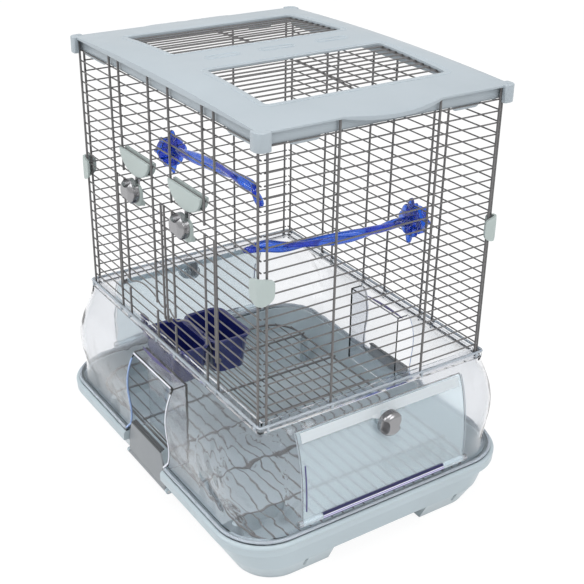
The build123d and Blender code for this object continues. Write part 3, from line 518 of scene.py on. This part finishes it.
# Roof: one crowned sheet with soft edges, then its skirt, its ears and its raised lines
def roof_height(x, y):
    """Height of the sheet: crowned along x, and lower towards the long edges and out on the lips."""
    fall_start, fall_floor, fall_share = 112.0, 494.8, 0.55
    lip_fall = 0.025
    across = min(abs(x), ROOF_X) / ROOF_X
    height = ROOF_EDGE + ROOF_RISE * (1 - across ** 2)
    if abs(x) > ROOF_X:
        height -= lip_fall * (abs(x) - ROOF_X) ** 2
    fall = max(0.0, (abs(y) - fall_start) / (ROOF_Y - fall_start))
    return height - fall_share * max(0.0, height - fall_floor) * fall ** 2


def roof_outline():
    """Outline of the sheet: round corners, and a lip that bows out from each short side."""
    bend, bend_steps = 6.0, 6
    lip_half, lip_steps = 58.0, 24

    def corner(side, middle_y, start):
        """Quarter of a circle at one corner, from an angle in degrees."""
        angles = [math.radians(start + 90 / bend_steps * step) for step in range(bend_steps + 1)]
        return [(side * (ROOF_X - bend + bend * math.cos(angle)), side * (middle_y + bend * math.sin(angle)))
                for angle in angles]

    points = []
    for side in (1, -1):
        points += corner(side, bend - ROOF_Y, -90)
        for step in range(lip_steps + 1):
            y = -lip_half + 2 * lip_half * step / lip_steps
            points.append((side * (ROOF_X + ROOF_LIP * (1 - (y / lip_half) ** 2)), side * y))
        points += corner(side, ROOF_Y - bend, 0)
    return points


def window_ring(side, grow_x, grow_y, radius, corner_steps):
    """Ring round one window of the roof, at height 0."""
    half_x = (WINDOW_FAR - WINDOW_NEAR) / 2 + grow_x
    middle_x = side * (WINDOW_NEAR + WINDOW_FAR) / 2
    return rounded_ring(half_x, WINDOW_HALF_Y + grow_y, radius, 0, corner_steps, (middle_x, 0))


def on_roof_rim(edge):
    """Whether an edge of the sheet lies on its outer rim, and not round a window."""
    margin = 1
    middle = (edge.verts[0].co + edge.verts[1].co) / 2 / MM
    beside_window = WINDOW_NEAR - margin < abs(middle.x) < WINDOW_FAR + margin
    return edge.is_boundary and not (beside_window and abs(middle.y) < WINDOW_HALF_Y + margin)


def make_roof():
    """Crowned sheet with two windows, and its rim turned down."""
    cuts = (((1, 0, 0), 208.0, 38), ((0, 1, 0), 147.0, 26))      # direction, half length, pieces
    rim_low, lip_drop, lip_power = ROOF_LOW + 0.1, 4.5, 0.8
    window_r = 4.0
    mesh = bmesh.new()
    loops = [[(x, y, 0) for x, y in roof_outline()]]
    loops += [window_ring(side, 0, 0, window_r, 5) for side in (-1, 1)]
    for loop in loops:
        ring = add_ring(mesh, loop)
        for first, second in zip(ring, ring[1:] + ring[:1]):
            mesh.edges.new((first, second))
    bmesh.ops.triangle_fill(mesh, use_beauty=True, use_dissolve=False, edges=mesh.edges[:], normal=(0, 0, 1))
    for normal, half, pieces in cuts:
        for step in range(1, pieces):
            place = -half + 2 * half * step / pieces
            point = tuple(place * MM * part for part in normal)
            bmesh.ops.bisect_plane(mesh, geom=mesh.verts[:] + mesh.edges[:] + mesh.faces[:], dist=1e-6,
                                   plane_co=point, plane_no=normal)
    rim = [edge for edge in mesh.edges if on_roof_rim(edge)]
    for vertex in mesh.verts:
        vertex.co.z = roof_height(vertex.co.x / MM, vertex.co.y / MM) * MM
    grown = bmesh.ops.extrude_edge_only(mesh, edges=rim)
    for item in grown["geom"]:
        if isinstance(item, bmesh.types.BMVert):
            past = max(0.0, abs(item.co.x / MM) - ROOF_X) / ROOF_LIP
            item.co.z = (rim_low - lip_drop * min(1.0, past) ** lip_power) * MM
    make_piece("roof", mesh, "roof_plastic", "cage", ("roof_frame",), bevel=1.0, wall=2.1)


def skirt_outline(length, tabs):
    """Strip with soft tabs hanging from its lower edge: tabs are (middle, width)."""
    low, high = 480.4, ROOF_LOW + 0.4
    drop, soft, steps = 4.4, 5.0, 6
    angles = [math.pi * step / (2 * steps) for step in range(steps + 1)]
    bottom = [(-length, low)]
    for middle, width in tabs:
        left, right = middle - width / 2, middle + width / 2
        bottom += [(left + soft * (1 - math.cos(angle)), low - drop * math.sin(angle)) for angle in angles]
        bottom += [(right - soft * (1 - math.cos(angle)), low - drop * math.sin(angle))
                   for angle in reversed(angles)]
    return [(length, high), (-length, high)] + bottom + [(length, low)]


def ear_outline():
    """Outline of one ear, which wraps the cage's corner from outside."""
    reach, length, bend, steps = 6.3, 15.0, 8.0, 8
    nick_in, nick_along = 1.2, 2
    near_x, near_y = OUTER_X + PART_GAP, OUTER_Y + PART_GAP
    far_x, far_y = OUTER_X + reach, OUTER_Y + reach
    outline = [(far_x - length, near_y), (near_x, near_y), (near_x, far_y - length),
               (far_x - nick_in, far_y - length), (far_x, far_y - length + nick_along)]
    for step in range(steps + 1):
        angle = math.radians(90 * step / steps)
        outline.append((far_x - bend * (1 - math.cos(angle)), far_y - bend * (1 - math.sin(angle))))
    return outline + [(far_x - length + nick_along, far_y), (far_x - length, far_y - nick_in)]


def make_roof_skirt():
    """Strips inside the wires under the roof's edge, and an ear at each corner."""
    sheet, corner_gap = 2.5, 0.02
    skirt_x, skirt_y = INNER_X - PART_GAP, INNER_Y - PART_GAP
    long_tabs, short_tabs = ((-158.0, 56.0), (158.0, 56.0)), ((-95.0, 34.0), (95.0, 34.0))
    long_strip = skirt_outline(skirt_x - sheet - corner_gap, long_tabs)
    short_strip = skirt_outline(skirt_y, short_tabs)
    ear_low, ear_high = ROOF_LOW - 15.5, ROOF_EDGE + 0.6
    mesh = bmesh.new()
    for side in (-1, 1):
        add_prism(mesh, long_strip, lambda u, v, depth: (u, side * depth, v), skirt_y - sheet, skirt_y)
        add_prism(mesh, short_strip, lambda u, v, depth: (side * depth, u, v), skirt_x - sheet, skirt_x)
    for side_x in (-1, 1):
        for side_y in (-1, 1):
            add_prism(mesh, ear_outline(), lambda u, v, depth: (side_x * u, side_y * v, depth),
                      ear_low, ear_high)
    make_piece("roof_skirt", mesh, "roof_plastic", "cage", bevel=0.7)


def make_roof_lines():
    """Thin raised lines round the windows, and double ones round the ovals along the middle band, coloured
    lighter than the roof as a painted highlight.
    """
    line_r, proud, step_length = 0.42, 0.02, 9
    ovals = ((-66.0, 21.0), (0.0, 22.0), (71.0, 21.0))           # middle y, half length
    oval_x, oval_half_x, oval_r, inner_inset = -4.0, 6.0, 5.9, 2.6
    window_x_out, window_y_out, window_r = 5.5, 6.5, 9.0
    mesh = bmesh.new()
    loops = [window_ring(side, window_x_out, window_y_out, window_r, 6) for side in (-1, 1)]
    for middle_y, half_y in ovals:
        for inset in (0.0, inner_inset):
            loops.append(rounded_ring(oval_half_x - inset, half_y - inset, oval_r - inset, 0, 8,
                                      (oval_x, middle_y)))
    for loop in loops:
        path = [(point.x, point.y, roof_height(point.x, point.y) + proud)
                for point in divide_path(loop, step_length, closed=True)]
        add_tube(mesh, path, line_r, sides=6, closed=True)
    make_piece("roof_lines", mesh, "roof_plastic", "cage", look="roof_line_highlight")


# Tray trim: the bead round the rim and the slots in the feet
def make_rim_bead():
    """Round bead along the rim, thinner at its ends beside the recesses."""
    inset, drop, bead_r = 2.7, 3.0, 3.4
    end_share, end_growth = 0.55, 12
    end_x, step_length = RECESS_X + 1.5, 12
    mesh = bmesh.new()
    for run in side_runs(RIM_X - inset, RIM_Y - inset, RIM_R - inset, RIM_TOP - drop, 16, end_x):
        add_tube(mesh, divide_path(run, step_length),
                 lambda share: bead_r * min(1.0, end_share + end_growth * min(share, 1 - share)), sides=14)
    make_piece("tray_rim_bead", mesh, "tray_plastic", "tray")


def make_foot_slots():
    """Dark upright slots in the outer ends of the feet."""
    slot_y, slot_z, slot_r = (-99.0, 108.0), range(11, 23, 2), 2.5
    mesh = bmesh.new()
    for side in (-1, 1):
        for y in slot_y:
            places = [(0, y, z) for z in slot_z]
            add_surface_bar(mesh, "base_tray", (side, 0, 0), places, slot_r, sink=1.5, sides=10)
    make_piece("foot_slots", mesh, "tray_plastic", "tray", look="tray_shade")


# Guard trim: painted highlights along its edges, the bead in its channel and the lenses over its recesses
def make_guard_edges():
    """Pale bars up the recesses, over them and up the hatch openings, and along the guard's foot: painted
    highlights on the clear guard's edges, pale blue on one edge of each recess.
    """
    edge_x, edge_z, edge_r = RECESS_X + 1.1, range(66, 162, 4), 1.15
    top_x, top_z, top_r = range(-47, 48, 5), 163.1, 1.0
    opening_y, opening_z, opening_r, wall_least = 110.0, range(80, 178, 4), 0.6, 150.0
    foot_x, foot_y, foot_bend, foot_z, foot_r = 223.3, 179.1, 55.1, 64.7, 1.7
    blue, edge_highlight, flange = bmesh.new(), bmesh.new(), bmesh.new()
    for side in (-1, 1):
        for edge in (-1, 1):
            places = [(edge * edge_x, 0, z) for z in edge_z]
            target = blue if edge * side > 0 else edge_highlight
            add_surface_bar(target, "debris_guard", (0, side, 0), places, edge_r, sink=0.5)
        places = [(x, 0, top_z) for x in top_x]
        add_surface_bar(edge_highlight, "debris_guard", (0, side, 0), places, top_r, sink=0.4)
    for side in (-1, 1):
        for edge in (-1, 1):
            places = [(0, edge * opening_y, z) for z in opening_z]
            add_surface_bar(flange, "debris_guard", (side, 0, 0), places, opening_r, sink=0.3,
                            least=wall_least)
    for run in side_runs(foot_x, foot_y, foot_bend, foot_z, 14, RECESS_X + 3):
        add_tube(flange, run, foot_r)
    make_piece("guard_edges_blue", blue, "clear_plastic", "cage", look="blue_edge_highlight")
    make_piece("guard_edges", edge_highlight, "clear_plastic", "cage", look="edge_highlight")
    make_piece("guard_flange", flange, "clear_plastic", "cage", look="flange")


def make_channel_beads():
    """Lumpy glassy bead along the channel, with a clasp at the foot of each upright."""
    bead_out, bead_bend, bead_z, step_length = 1.6, 3.2, 190.9, 3.5
    clasp_out, clasp_z, clasp_step, clasp_steps = 1.9, 184.6, 1.5, 5
    bead_r, bead_more = 1.25, 0.55               # least radius, and the most that chance adds to it
    clasp_r, clasp_more, clasp_taper = 1.6, 0.9, 0.5
    chance = random.Random(7)
    mesh = bmesh.new()
    ring = rounded_ring(OUTER_X + bead_out, OUTER_Y + bead_out, bead_bend, bead_z, 4)
    path = divide_path(ring, step_length, closed=True)
    sizes = [bead_r + bead_more * chance.random() for _ in path]
    add_tube(mesh, path, lambda share: sizes[int(share * (len(sizes) - 1))], sides=8, closed=True)
    places = [(side * x, edge * (OUTER_Y + clasp_out)) for x in LONG_UPRIGHTS for side in (-1, 1)
              for edge in (-1, 1)]
    places += [(side * (OUTER_X + clasp_out), edge * y) for y in SHORT_UPRIGHTS for side in (-1, 1)
               for edge in (-1, 1)]
    for x, y in places:
        points = [(x, y, clasp_z + clasp_step * step) for step in range(clasp_steps + 1)]
        lumps = [clasp_r + clasp_more * chance.random() for _ in points]
        add_tube(mesh, points, lambda share: (lumps[int(share * clasp_steps)]
                                              * (1 - clasp_taper * abs(2 * share - 1) ** 3)))
    # The bead takes the flange's pale look, a painted highlight.
    make_piece("channel_beads", mesh, "clear_plastic", "cage", finer=True, look="flange")


def make_recess_tints():
    """Violet lens that shows over the ceiling of each recess."""
    middle, half, steps = -17.0, 36.0, 24
    near_y, far_y, bow = 149.8, 150.2, 3.4
    low, high = 164.1, 165.1
    near = [(middle + half * (2 * step / steps - 1), near_y) for step in range(steps + 1)]
    far = [(x, far_y + bow * (1 - ((x - middle) / half) ** 2)) for x, _ in reversed(near[1:-1])]
    mesh = bmesh.new()
    for side in (-1, 1):
        add_prism(mesh, near + far, lambda u, v, depth: (-side * u, side * v, depth), low, high)
    make_piece("recess_tints", mesh, "violet_plastic", "cage", look="dark_violet", bevel=0.2)


# Hatch trim: coloured bands along the pivot bar, the white ones painted highlights, a dark strip up one side
# and a frosted band under the top
HATCH_LEAST = 190.0              # the hatches lie further out than this
HATCH_BANDS = (                  # name, look, first and last angle in degrees, how proud it stands
    ("violet_band", "violet_plastic", 2, 22, 0.0),
    # the white bands are painted highlights along the bar
    ("highlight_band", "band_highlight", 22, 34, 0.12),
    ("navy_band", "navy", 34, 100, 0.3),
    ("lower_highlight_band", "band_highlight", -6, 2, 0.1),
    ("dark_band", "dark_violet", -34, -12, 0.05),
    ("low_violet_band", "violet_plastic", -12, -6, 0.0),
)


def make_hatch_bands(side, side_name):
    """Each band is a thin sheet bent round the pivot bar."""
    outer_r, inner_r, steps = 4.32, 4.06, 4
    along = (-84.0, -42.0, 0.0, 38.0, 79.0)
    for name, look, low, high, proud in HATCH_BANDS:
        outer = [(outer_r + proud, math.radians(low + (high - low) * step / steps))
                 for step in range(steps + 1)]
        inner = [(inner_r, angle) for _, angle in reversed(outer)]
        mesh = bmesh.new()
        rings = []
        for y in along:
            rings.append(add_ring(mesh, [(side * (HATCH_ROD_X + radius * math.cos(angle)), y,
                                          HATCH_ROD_Z + radius * math.sin(angle))
                                         for radius, angle in outer + inner]))
        join_all(mesh, rings)
        make_piece("hatch_%s_%s" % (name, side_name), mesh, "violet_plastic", "hatch_" + side_name, look=look)


def make_hatch_strip(side, side_name):
    """Dark bar up the side of the hatch."""
    strip_y, strip_z, strip_r = -side * 104.0, range(88, 143, 6), 0.8
    mesh = bmesh.new()
    add_surface_bar(mesh, "guard_hatch_" + side_name, (side, 0, 0), [(0, strip_y, z) for z in strip_z],
                    strip_r, least=HATCH_LEAST)
    make_piece("hatch_side_strip_" + side_name, mesh, "violet_plastic", "hatch_" + side_name,
               look="dark_violet")


def make_hatch_frost(side, side_name):
    """Frosted sheet laid on the hatch's outer face."""
    columns, rows = range(-104, 105, 8), (165.5, 168.0, 170.5, 173.0, 175.4)
    proud = 0.35
    mesh = bmesh.new()
    grid = []
    for z in rows:
        hits = surface_points("guard_hatch_" + side_name, (side, 0, 0), [(0, y, z) for y in columns],
                              HATCH_LEAST)
        grid.append([mesh.verts.new((hit + Vector((side * proud, 0, 0))) * MM) if hit is not None else None
                     for hit in hits])
    add_sheet(mesh, grid)
    make_piece("hatch_frost_" + side_name, mesh, "clear_plastic", "hatch_" + side_name, look="frost",
               wall=0.25)


# Corner clips: a bent shield over the end wires of two panels
def clip_face(run):
    """Point on a clip's outer face, at a distance from its corner along one wing or the other."""
    sheet, bend = 3.0, 6.5
    far_x, far_y = OUTER_X + sheet, OUTER_Y + sheet
    quarter = bend * math.pi / 4
    if run < -quarter:
        return far_x - bend + (run + quarter), far_y
    if run > quarter:
        return far_x, far_y - bend - (run - quarter)
    angle = math.pi / 2 - (run + quarter) / bend
    return far_x - bend + bend * math.cos(angle), far_y - bend + bend * math.sin(angle)


def clip_point(u, v):
    """Point on a clip, where u and v run from -1 to 1: narrower to its ends and slightly puffed."""
    low, high, wing = 326.0, 354.0, 16.5
    upper_power, lower_power, narrowing = 6.0, 3.2, 0.75
    puff_out, corner_rise = 0.3, 0.06
    narrow = (1 - abs(v) ** (lower_power if v < 0 else upper_power) * narrowing) ** 0.5
    x, y = clip_face(u * wing * narrow)
    puff = puff_out * (1 - u ** 4) * (1 - v ** 4)
    z = (low + high) / 2 + v * (high - low) / 2 * (1 - corner_rise * abs(u) ** 3)
    return x + puff, y + puff, z


def make_clips():
    """One clip for each corner of the cage, with its outer face outwards."""
    columns, rows = 18, 14
    for side_x, name_x in ((-1, "left"), (1, "right")):
        for side_y, name_y in ((-1, "front"), (1, "back")):
            mesh = bmesh.new()
            grid = []
            for row in range(rows + 1):
                places = [clip_point(-1 + 2 * column / columns, -1 + 2 * row / rows)
                          for column in range(columns + 1)]
                grid.append(add_ring(mesh, [(side_x * x, side_y * y, z) for x, y, z in places]))
            add_sheet(mesh, grid, flipped=side_x * side_y < 0)
            name = "clip_%s_%s" % (name_y, name_x)
            piece = make_piece(name, mesh, "pale_plastic", "cage", ("corner_" + name,), wall=2.6, bevel=0.8)
            middle_face = piece.data.polygons[len(piece.data.polygons) // 2]
            if middle_face.normal.dot(Vector((side_x, side_y, 0))) < 0:
                piece.data.flip_normals()


# Feeder doors: straight wires, with a bent one along the bottom and a curl round the hinge wire
DOOR_BOTTOMS = {                 # x, height over the cage's foot
    "left": ((-109.4, 49.0), (-100.0, 47.0), (-91.0, 45.0), (-76.0, 50.5), (-60.0, 54.0), (-42.0, 53.6),
             (-27.0, 50.6), (-20.5, 46.4), (-12.0, 45.4), (-5.5, 48.0), (-3.4, 52.0)),
    "right": ((3.4, 50.0), (9.0, 45.6), (20.7, 42.7), (32.0, 49.0), (46.8, 54.3), (64.7, 52.8),
              (77.8, 50.4), (88.8, 51.9), (95.0, 46.4), (103.0, 47.0), (109.4, 51.3)),
}


def make_doors():
    """Level wires, two uprights, and two end wires that curl round the hinge wire."""
    past_top, foot_drop = 1.6, 0.8
    curl_r, curl_turn, curl_steps = 2.15, 26, 9              # the turn in degrees for each step
    bent_r, end_r = LEVEL_R * 1.1, UPRIGHT_R * 0.98
    top, hinge = row_z(DOOR_HIGH_ROW) + LEVEL_R + past_top, row_z(HINGE_ROW)
    for side, name in ((-1, "left"), (1, "right")):
        mesh = bmesh.new()
        low_x, high_x = sorted((side * DOOR_NEAR, side * DOOR_FAR))
        for row in range(DOOR_LOW_ROW + 1, DOOR_HIGH_ROW + 1):
            add_tube(mesh, [(x, -LEVEL_Y, row_z(row)) for x in (low_x - UPRIGHT_R, high_x + UPRIGHT_R)],
                     LEVEL_R, sides=8)
        bent = smooth_path([(x, -LEVEL_Y, CAGE_BOTTOM + rise) for x, rise in DOOR_BOTTOMS[name]], 5)
        add_tube(mesh, bent, bent_r, sides=8)
        for x in DOOR_UPRIGHTS:
            add_tube(mesh, [(side * x, -PANEL_Y, z) for z in (row_z(DOOR_LOW_ROW) - foot_drop, top)],
                     UPRIGHT_R)
        for x in (side * DOOR_NEAR, side * DOOR_FAR):
            points = [(x, -PANEL_Y, z) for z in (top, hinge + 4, hinge + 2)]
            for step in range(curl_steps + 1):
                angle = math.radians(curl_turn * step)
                points.append((x, -LEVEL_Y - curl_r * math.cos(angle), hinge - curl_r * math.sin(angle)))
            add_tube(mesh, points, end_r)
        make_piece("door_wires_" + name, mesh, "wire", "door_" + name, ("feeder_door_" + name,))


# Perches: two strands wound round each other, with a lobed disc and a tongue at the root
UP = Vector((0, 0, 1))
PERCHES = (                      # name, middle line, middle of the root, direction into the cage
    ("left", ((-187.0, -32, 340.5), (-168.0, -32, 346.0), (-120.0, -32, 350.5), (-66.0, -32, 354.5),
              (-25.0, -32, 358.0), (-3.0, -32, 356.5), (9.5, -32, 349.0), (16.0, -32, 338.5)),
     (-191.2, -32, 339.5), (1, 0, 0)),
    ("back", ((68, 136.0, 303.0), (68, 112.0, 303.0), (68, 66.0, 302.5), (68, 20.0, 305.5),
              (68, -30.0, 311.0), (68, -62.0, 316.5), (68, -86.0, 319.0)),
     (68, 140.7, 302.9), (0, -1, 0)),
)


def add_strands(mesh, path):
    """Two lumpy strands wound round a path, which meet at both ends and taper to the tip."""
    turns, most_apart, root_growth, tip_growth, tip_apart = 1.35, 4.2, 4, 5, 0.1
    sway, sway_rate = 0.28, 9            # of the distance between the strands
    strand_r, lump, lump_rate = 4.4, 0.8, 17
    taper, end_share, end_growth = 0.18, 0.55, 14
    last = len(path) - 1
    for start in (0.0, math.pi):
        strand = []
        for index, (point, (normal, binormal)) in enumerate(zip(path, frames_along(path))):
            share = index / last
            turn = start + 2 * math.pi * turns * share
            apart = most_apart * min(1.0, root_growth * share, tip_growth * (1 - share) + tip_apart)
            apart *= 1 - sway + sway * math.sin(sway_rate * share + start)
            strand.append(point + (normal * math.cos(turn) + binormal * math.sin(turn)) * apart)

        def radius(share):
            """Radius of this strand at a share of its length."""
            lumpy = strand_r + lump * math.sin(lump_rate * share + start)
            return lumpy * (1.0 - taper * share) * min(1.0, end_share + end_growth * (1 - share))
        add_tube(mesh, strand, radius, sides=12)


def add_lobed_disc(mesh, mount, inward, sideways):
    """Disc of six lobes, domed into the cage."""
    least_r, lobe_out, lobe_power, steps = 16.8, 3.4, 0.8, 60
    dome = ((0.0, 0.80), (0.4, 0.93), (2.0, 1.0), (4.2, 0.95), (6.0, 0.72), (6.9, 0.40))   # depth, size
    rings = []
    for depth, size in dome:
        ring = []
        for step in range(steps):
            angle = 2 * math.pi * step / steps
            radius = least_r + lobe_out * abs(math.cos(3 * angle)) ** lobe_power
            ring.append(mount + inward * depth
                        + (sideways * math.cos(angle) + UP * math.sin(angle)) * radius * size)
        rings.append(add_ring(mesh, ring))
    join_all(mesh, rings)


def add_tongue(mesh, mount, inward, sideways):
    """Upright tongue through the disc, taller than it and narrower to its ends."""
    half_width, half_height, steps = 6.0, 27.8, 48
    width_power, height_power, narrowing = 0.7, 0.85, 0.35
    near, far = 0.1, 4.6
    outline = []
    for step in range(steps):
        angle = 2 * math.pi * step / steps
        up = math.sin(angle)
        width = half_width * abs(math.cos(angle)) ** width_power * (1 - narrowing * abs(up) ** 2)
        outline.append((math.copysign(width, math.cos(angle)),
                        half_height * math.copysign(abs(up) ** height_power, up)))
    add_prism(mesh, outline, lambda u, v, depth: mount + inward * depth + sideways * u + UP * v, near, far)


def make_perch(name, line, mount, inward):
    """One perch with the knot at its strands' root and the stud that its nut screws on."""
    knot_r, knot_taper, knot_shares = 6.6, 3.2, (0.0, 0.05, 0.1, 0.16)
    stud_r, stud_in, stud_out = 4.0, 2, 12.9
    path = smooth_path(line, 12)
    mount, inward = Vector(mount), Vector(inward)
    sideways = UP.cross(inward)
    mesh = bmesh.new()
    add_strands(mesh, path)
    knot = smooth_path([path[int((len(path) - 1) * share)] for share in knot_shares], 4)
    add_tube(mesh, knot, lambda share: knot_r - knot_taper * share, sides=14)
    add_lobed_disc(mesh, mount, inward, sideways)
    add_tongue(mesh, mount, inward, sideways)
    add_tube(mesh, [mount + inward * stud_in, mount - inward * stud_out], stud_r, sides=16)
    make_piece("perch_arm_" + name, mesh, "blue_plastic", "cage", ("perch_" + name,), bevel=0.6, split=50.0)


def make_cup_lips():
    """Rolled lip round each cup's mouth."""
    inset, lip_z, lip_r = 1.7, 166.9, 1.75
    for name, middle_y in CUP_Y.items():
        mesh = bmesh.new()
        ring = rounded_ring(CUP_LIP_X - inset, CUP_LIP_Y - inset, CUP_LIP_R, lip_z, 10, (CUP_X, middle_y))
        add_tube(mesh, ring, lip_r, sides=14, closed=True)
        make_piece("cup_lip_" + name, mesh, "cup_plastic", "cup_" + name)


# Base latches: a tapered plate with its barrel, and a dark ledge of three steps along its top
def make_latches():
    """Both latches, without the steel pins."""
    near, far = 175.4, 177.6
    bulge_out, bulge_half = 0.5, 46
    half_outline = ((44.6, 30.5), (45.4, 32.0), (43.6, 58.0), (39.5, 70.0), (37.4, 77.0), (36.2, 78.6))
    outline = list(half_outline) + [(-x, z) for x, z in reversed(half_outline)]
    barrel_half, barrel_r = 45.4, 2.9
    ledge_half, ledge_y, ledge_z, ledge_r = 36.0, 176.6, 79.2, 1.15
    step_shorter, step_inward, step_up = 0.4, 2.1, 0.9

    def bulge(u, depth):
        """How far the outer face bows out, so far along the plate."""
        return bulge_out * (1 - (u / bulge_half) ** 2) if depth == far else 0.0

    for side, name in ((-1, "front"), (1, "back")):
        mesh = bmesh.new()
        add_prism(mesh, outline, lambda u, v, depth: (u, side * (depth + bulge(u, depth)), v), near, far)
        add_tube(mesh, [(x, side * LATCH_PIN_Y, LATCH_PIN_Z) for x in (-barrel_half, barrel_half)], barrel_r,
                 sides=20)
        make_piece("latch_plate_" + name, mesh, "latch_plastic", "latch_" + name, ("base_latch_" + name,),
                   bevel=0.5)
        mesh = bmesh.new()
        for step in range(3):
            half, y = ledge_half - step_shorter * step, side * (ledge_y - step_inward * step)
            z = ledge_z + step_up * step
            add_tube(mesh, [(-half, y, z), (half, y, z)], ledge_r, sides=8)
        make_piece("latch_ledge_" + name, mesh, "latch_plastic", "latch_" + name, look="ledge")


make_roof()
make_roof_skirt()
make_roof_lines()
make_rim_bead()
make_foot_slots()
make_guard_edges()
make_channel_beads()
make_recess_tints()
for side, side_name in ((-1, "left"), (1, "right")):
    make_hatch_bands(side, side_name)
    make_hatch_strip(side, side_name)
    make_hatch_frost(side, side_name)
make_clips()
make_doors()
for perch in PERCHES:
    make_perch(*perch)
make_cup_lips()
make_latches()


# Floor, light and camera
LAMPS = (                        # name, place, target, size in metres, power in watts
    ("key", (-0.6, -2.2, 2.6), (0, 0, 0.25), 1.6, 36),
    ("fill", (2.6, 0.6, 2.0), (0, 0, 0.25), 1.8, 24),
    ("top", (0.5, -0.4, 3.0), (0, 0, 0.1), 2.4, 34),
)


def floor_material():
    """Pale floor: nearly white to the eye, with the object's shadow kept."""
    cloud_scale, cloud_share = 0.8, 0.99
    glow_strength, glow_share = 1.06, 0.86
    material, tree, shader, output = new_material("pale floor")
    cloud = blend_colours(tree, noise(tree, cloud_scale), FLOOR_WHITE, shaded(FLOOR_WHITE, cloud_share))
    tree.links.new(cloud, shader.inputs["Base Color"])
    shader.inputs["Roughness"].default_value = 0.9
    shader.inputs["Specular IOR Level"].default_value = 0.0
    glow = tree.nodes.new("ShaderNodeEmission")
    glow.inputs["Strength"].default_value = glow_strength
    rays = tree.nodes.new("ShaderNodeLightPath").outputs
    through = calculate(tree, "ADD", rays["Is Glossy Ray"], rays["Is Transmission Ray"])
    seen = calculate(tree, "ADD", rays["Is Camera Ray"], through, clamp=True)
    share = calculate(tree, "MULTIPLY", seen, glow_share)
    mix_shaders(tree, share, shader.outputs["BSDF"], glow.outputs["Emission"], output)
    return material


def make_floor():
    """Wide flat floor under the tray, in metres."""
    half = 12.0
    mesh = bpy.data.meshes.new("floor")
    mesh.from_pydata([(-half, -half, 0), (half, -half, 0), (half, half, 0), (-half, half, 0)], [],
                     [(0, 1, 2, 3)])
    mesh.materials.append(floor_material())
    floor = bpy.data.objects.new("floor", mesh)
    bpy.context.scene.collection.objects.link(floor)


def make_world():
    """White surroundings to the eye and in reflections, a softer level as light."""
    light_strength, white_strength = 0.62, 1.0
    world = bpy.data.worlds.new("surroundings")
    bpy.context.scene.world = world
    world.use_nodes = True
    tree = world.node_tree
    tree.nodes.clear()
    output = tree.nodes.new("ShaderNodeOutputWorld")
    light = tree.nodes.new("ShaderNodeBackground")
    light.inputs["Color"].default_value = (*SKY_WHITE, 1)
    light.inputs["Strength"].default_value = light_strength
    white = tree.nodes.new("ShaderNodeBackground")
    white.inputs["Strength"].default_value = white_strength
    rays = tree.nodes.new("ShaderNodeLightPath").outputs
    through = calculate(tree, "MAXIMUM", rays["Is Glossy Ray"], rays["Is Transmission Ray"])
    seen = calculate(tree, "MAXIMUM", rays["Is Camera Ray"], through)
    mix_shaders(tree, seen, light.outputs["Background"], white.outputs["Background"], output)


def make_lamp(name, place, target, size, power):
    """Round area lamp aimed at a target."""
    lamp = bpy.data.lights.new(name, "AREA")
    lamp.shape = "DISK"
    lamp.size = size
    lamp.energy = power
    lamp_object = bpy.data.objects.new(name, lamp)
    lamp_object.location = place
    lamp_object.rotation_mode = "QUATERNION"
    lamp_object.rotation_quaternion = (Vector(target) - Vector(place)).to_track_quat("-Z", "Y")
    bpy.context.scene.collection.objects.link(lamp_object)


def make_camera():
    """Camera at the photograph's place, with its axes made square to each other."""
    camera = bpy.data.cameras.new("camera")
    camera.sensor_width = SENSOR_MM
    camera.lens = FOCAL_PIXELS / PHOTO_SIZE * SENSOR_MM
    camera.clip_start = 0.05
    camera.clip_end = 60.0
    camera_object = bpy.data.objects.new("camera", camera)
    bpy.context.scene.collection.objects.link(camera_object)
    backward = CAMERA_RIGHT.cross(CAMERA_UP).normalized()
    right = CAMERA_UP.cross(backward).normalized()
    up = backward.cross(right)
    turn = Matrix((right, up, backward)).transposed().to_4x4()
    camera_object.matrix_world = Matrix.Translation(CAMERA_PLACE) @ turn
    bpy.context.scene.camera = camera_object


make_floor()
make_world()
for lamp_row in LAMPS:
    make_lamp(*lamp_row)
make_camera()

scene = bpy.context.scene
scene.view_settings.view_transform = "Standard"
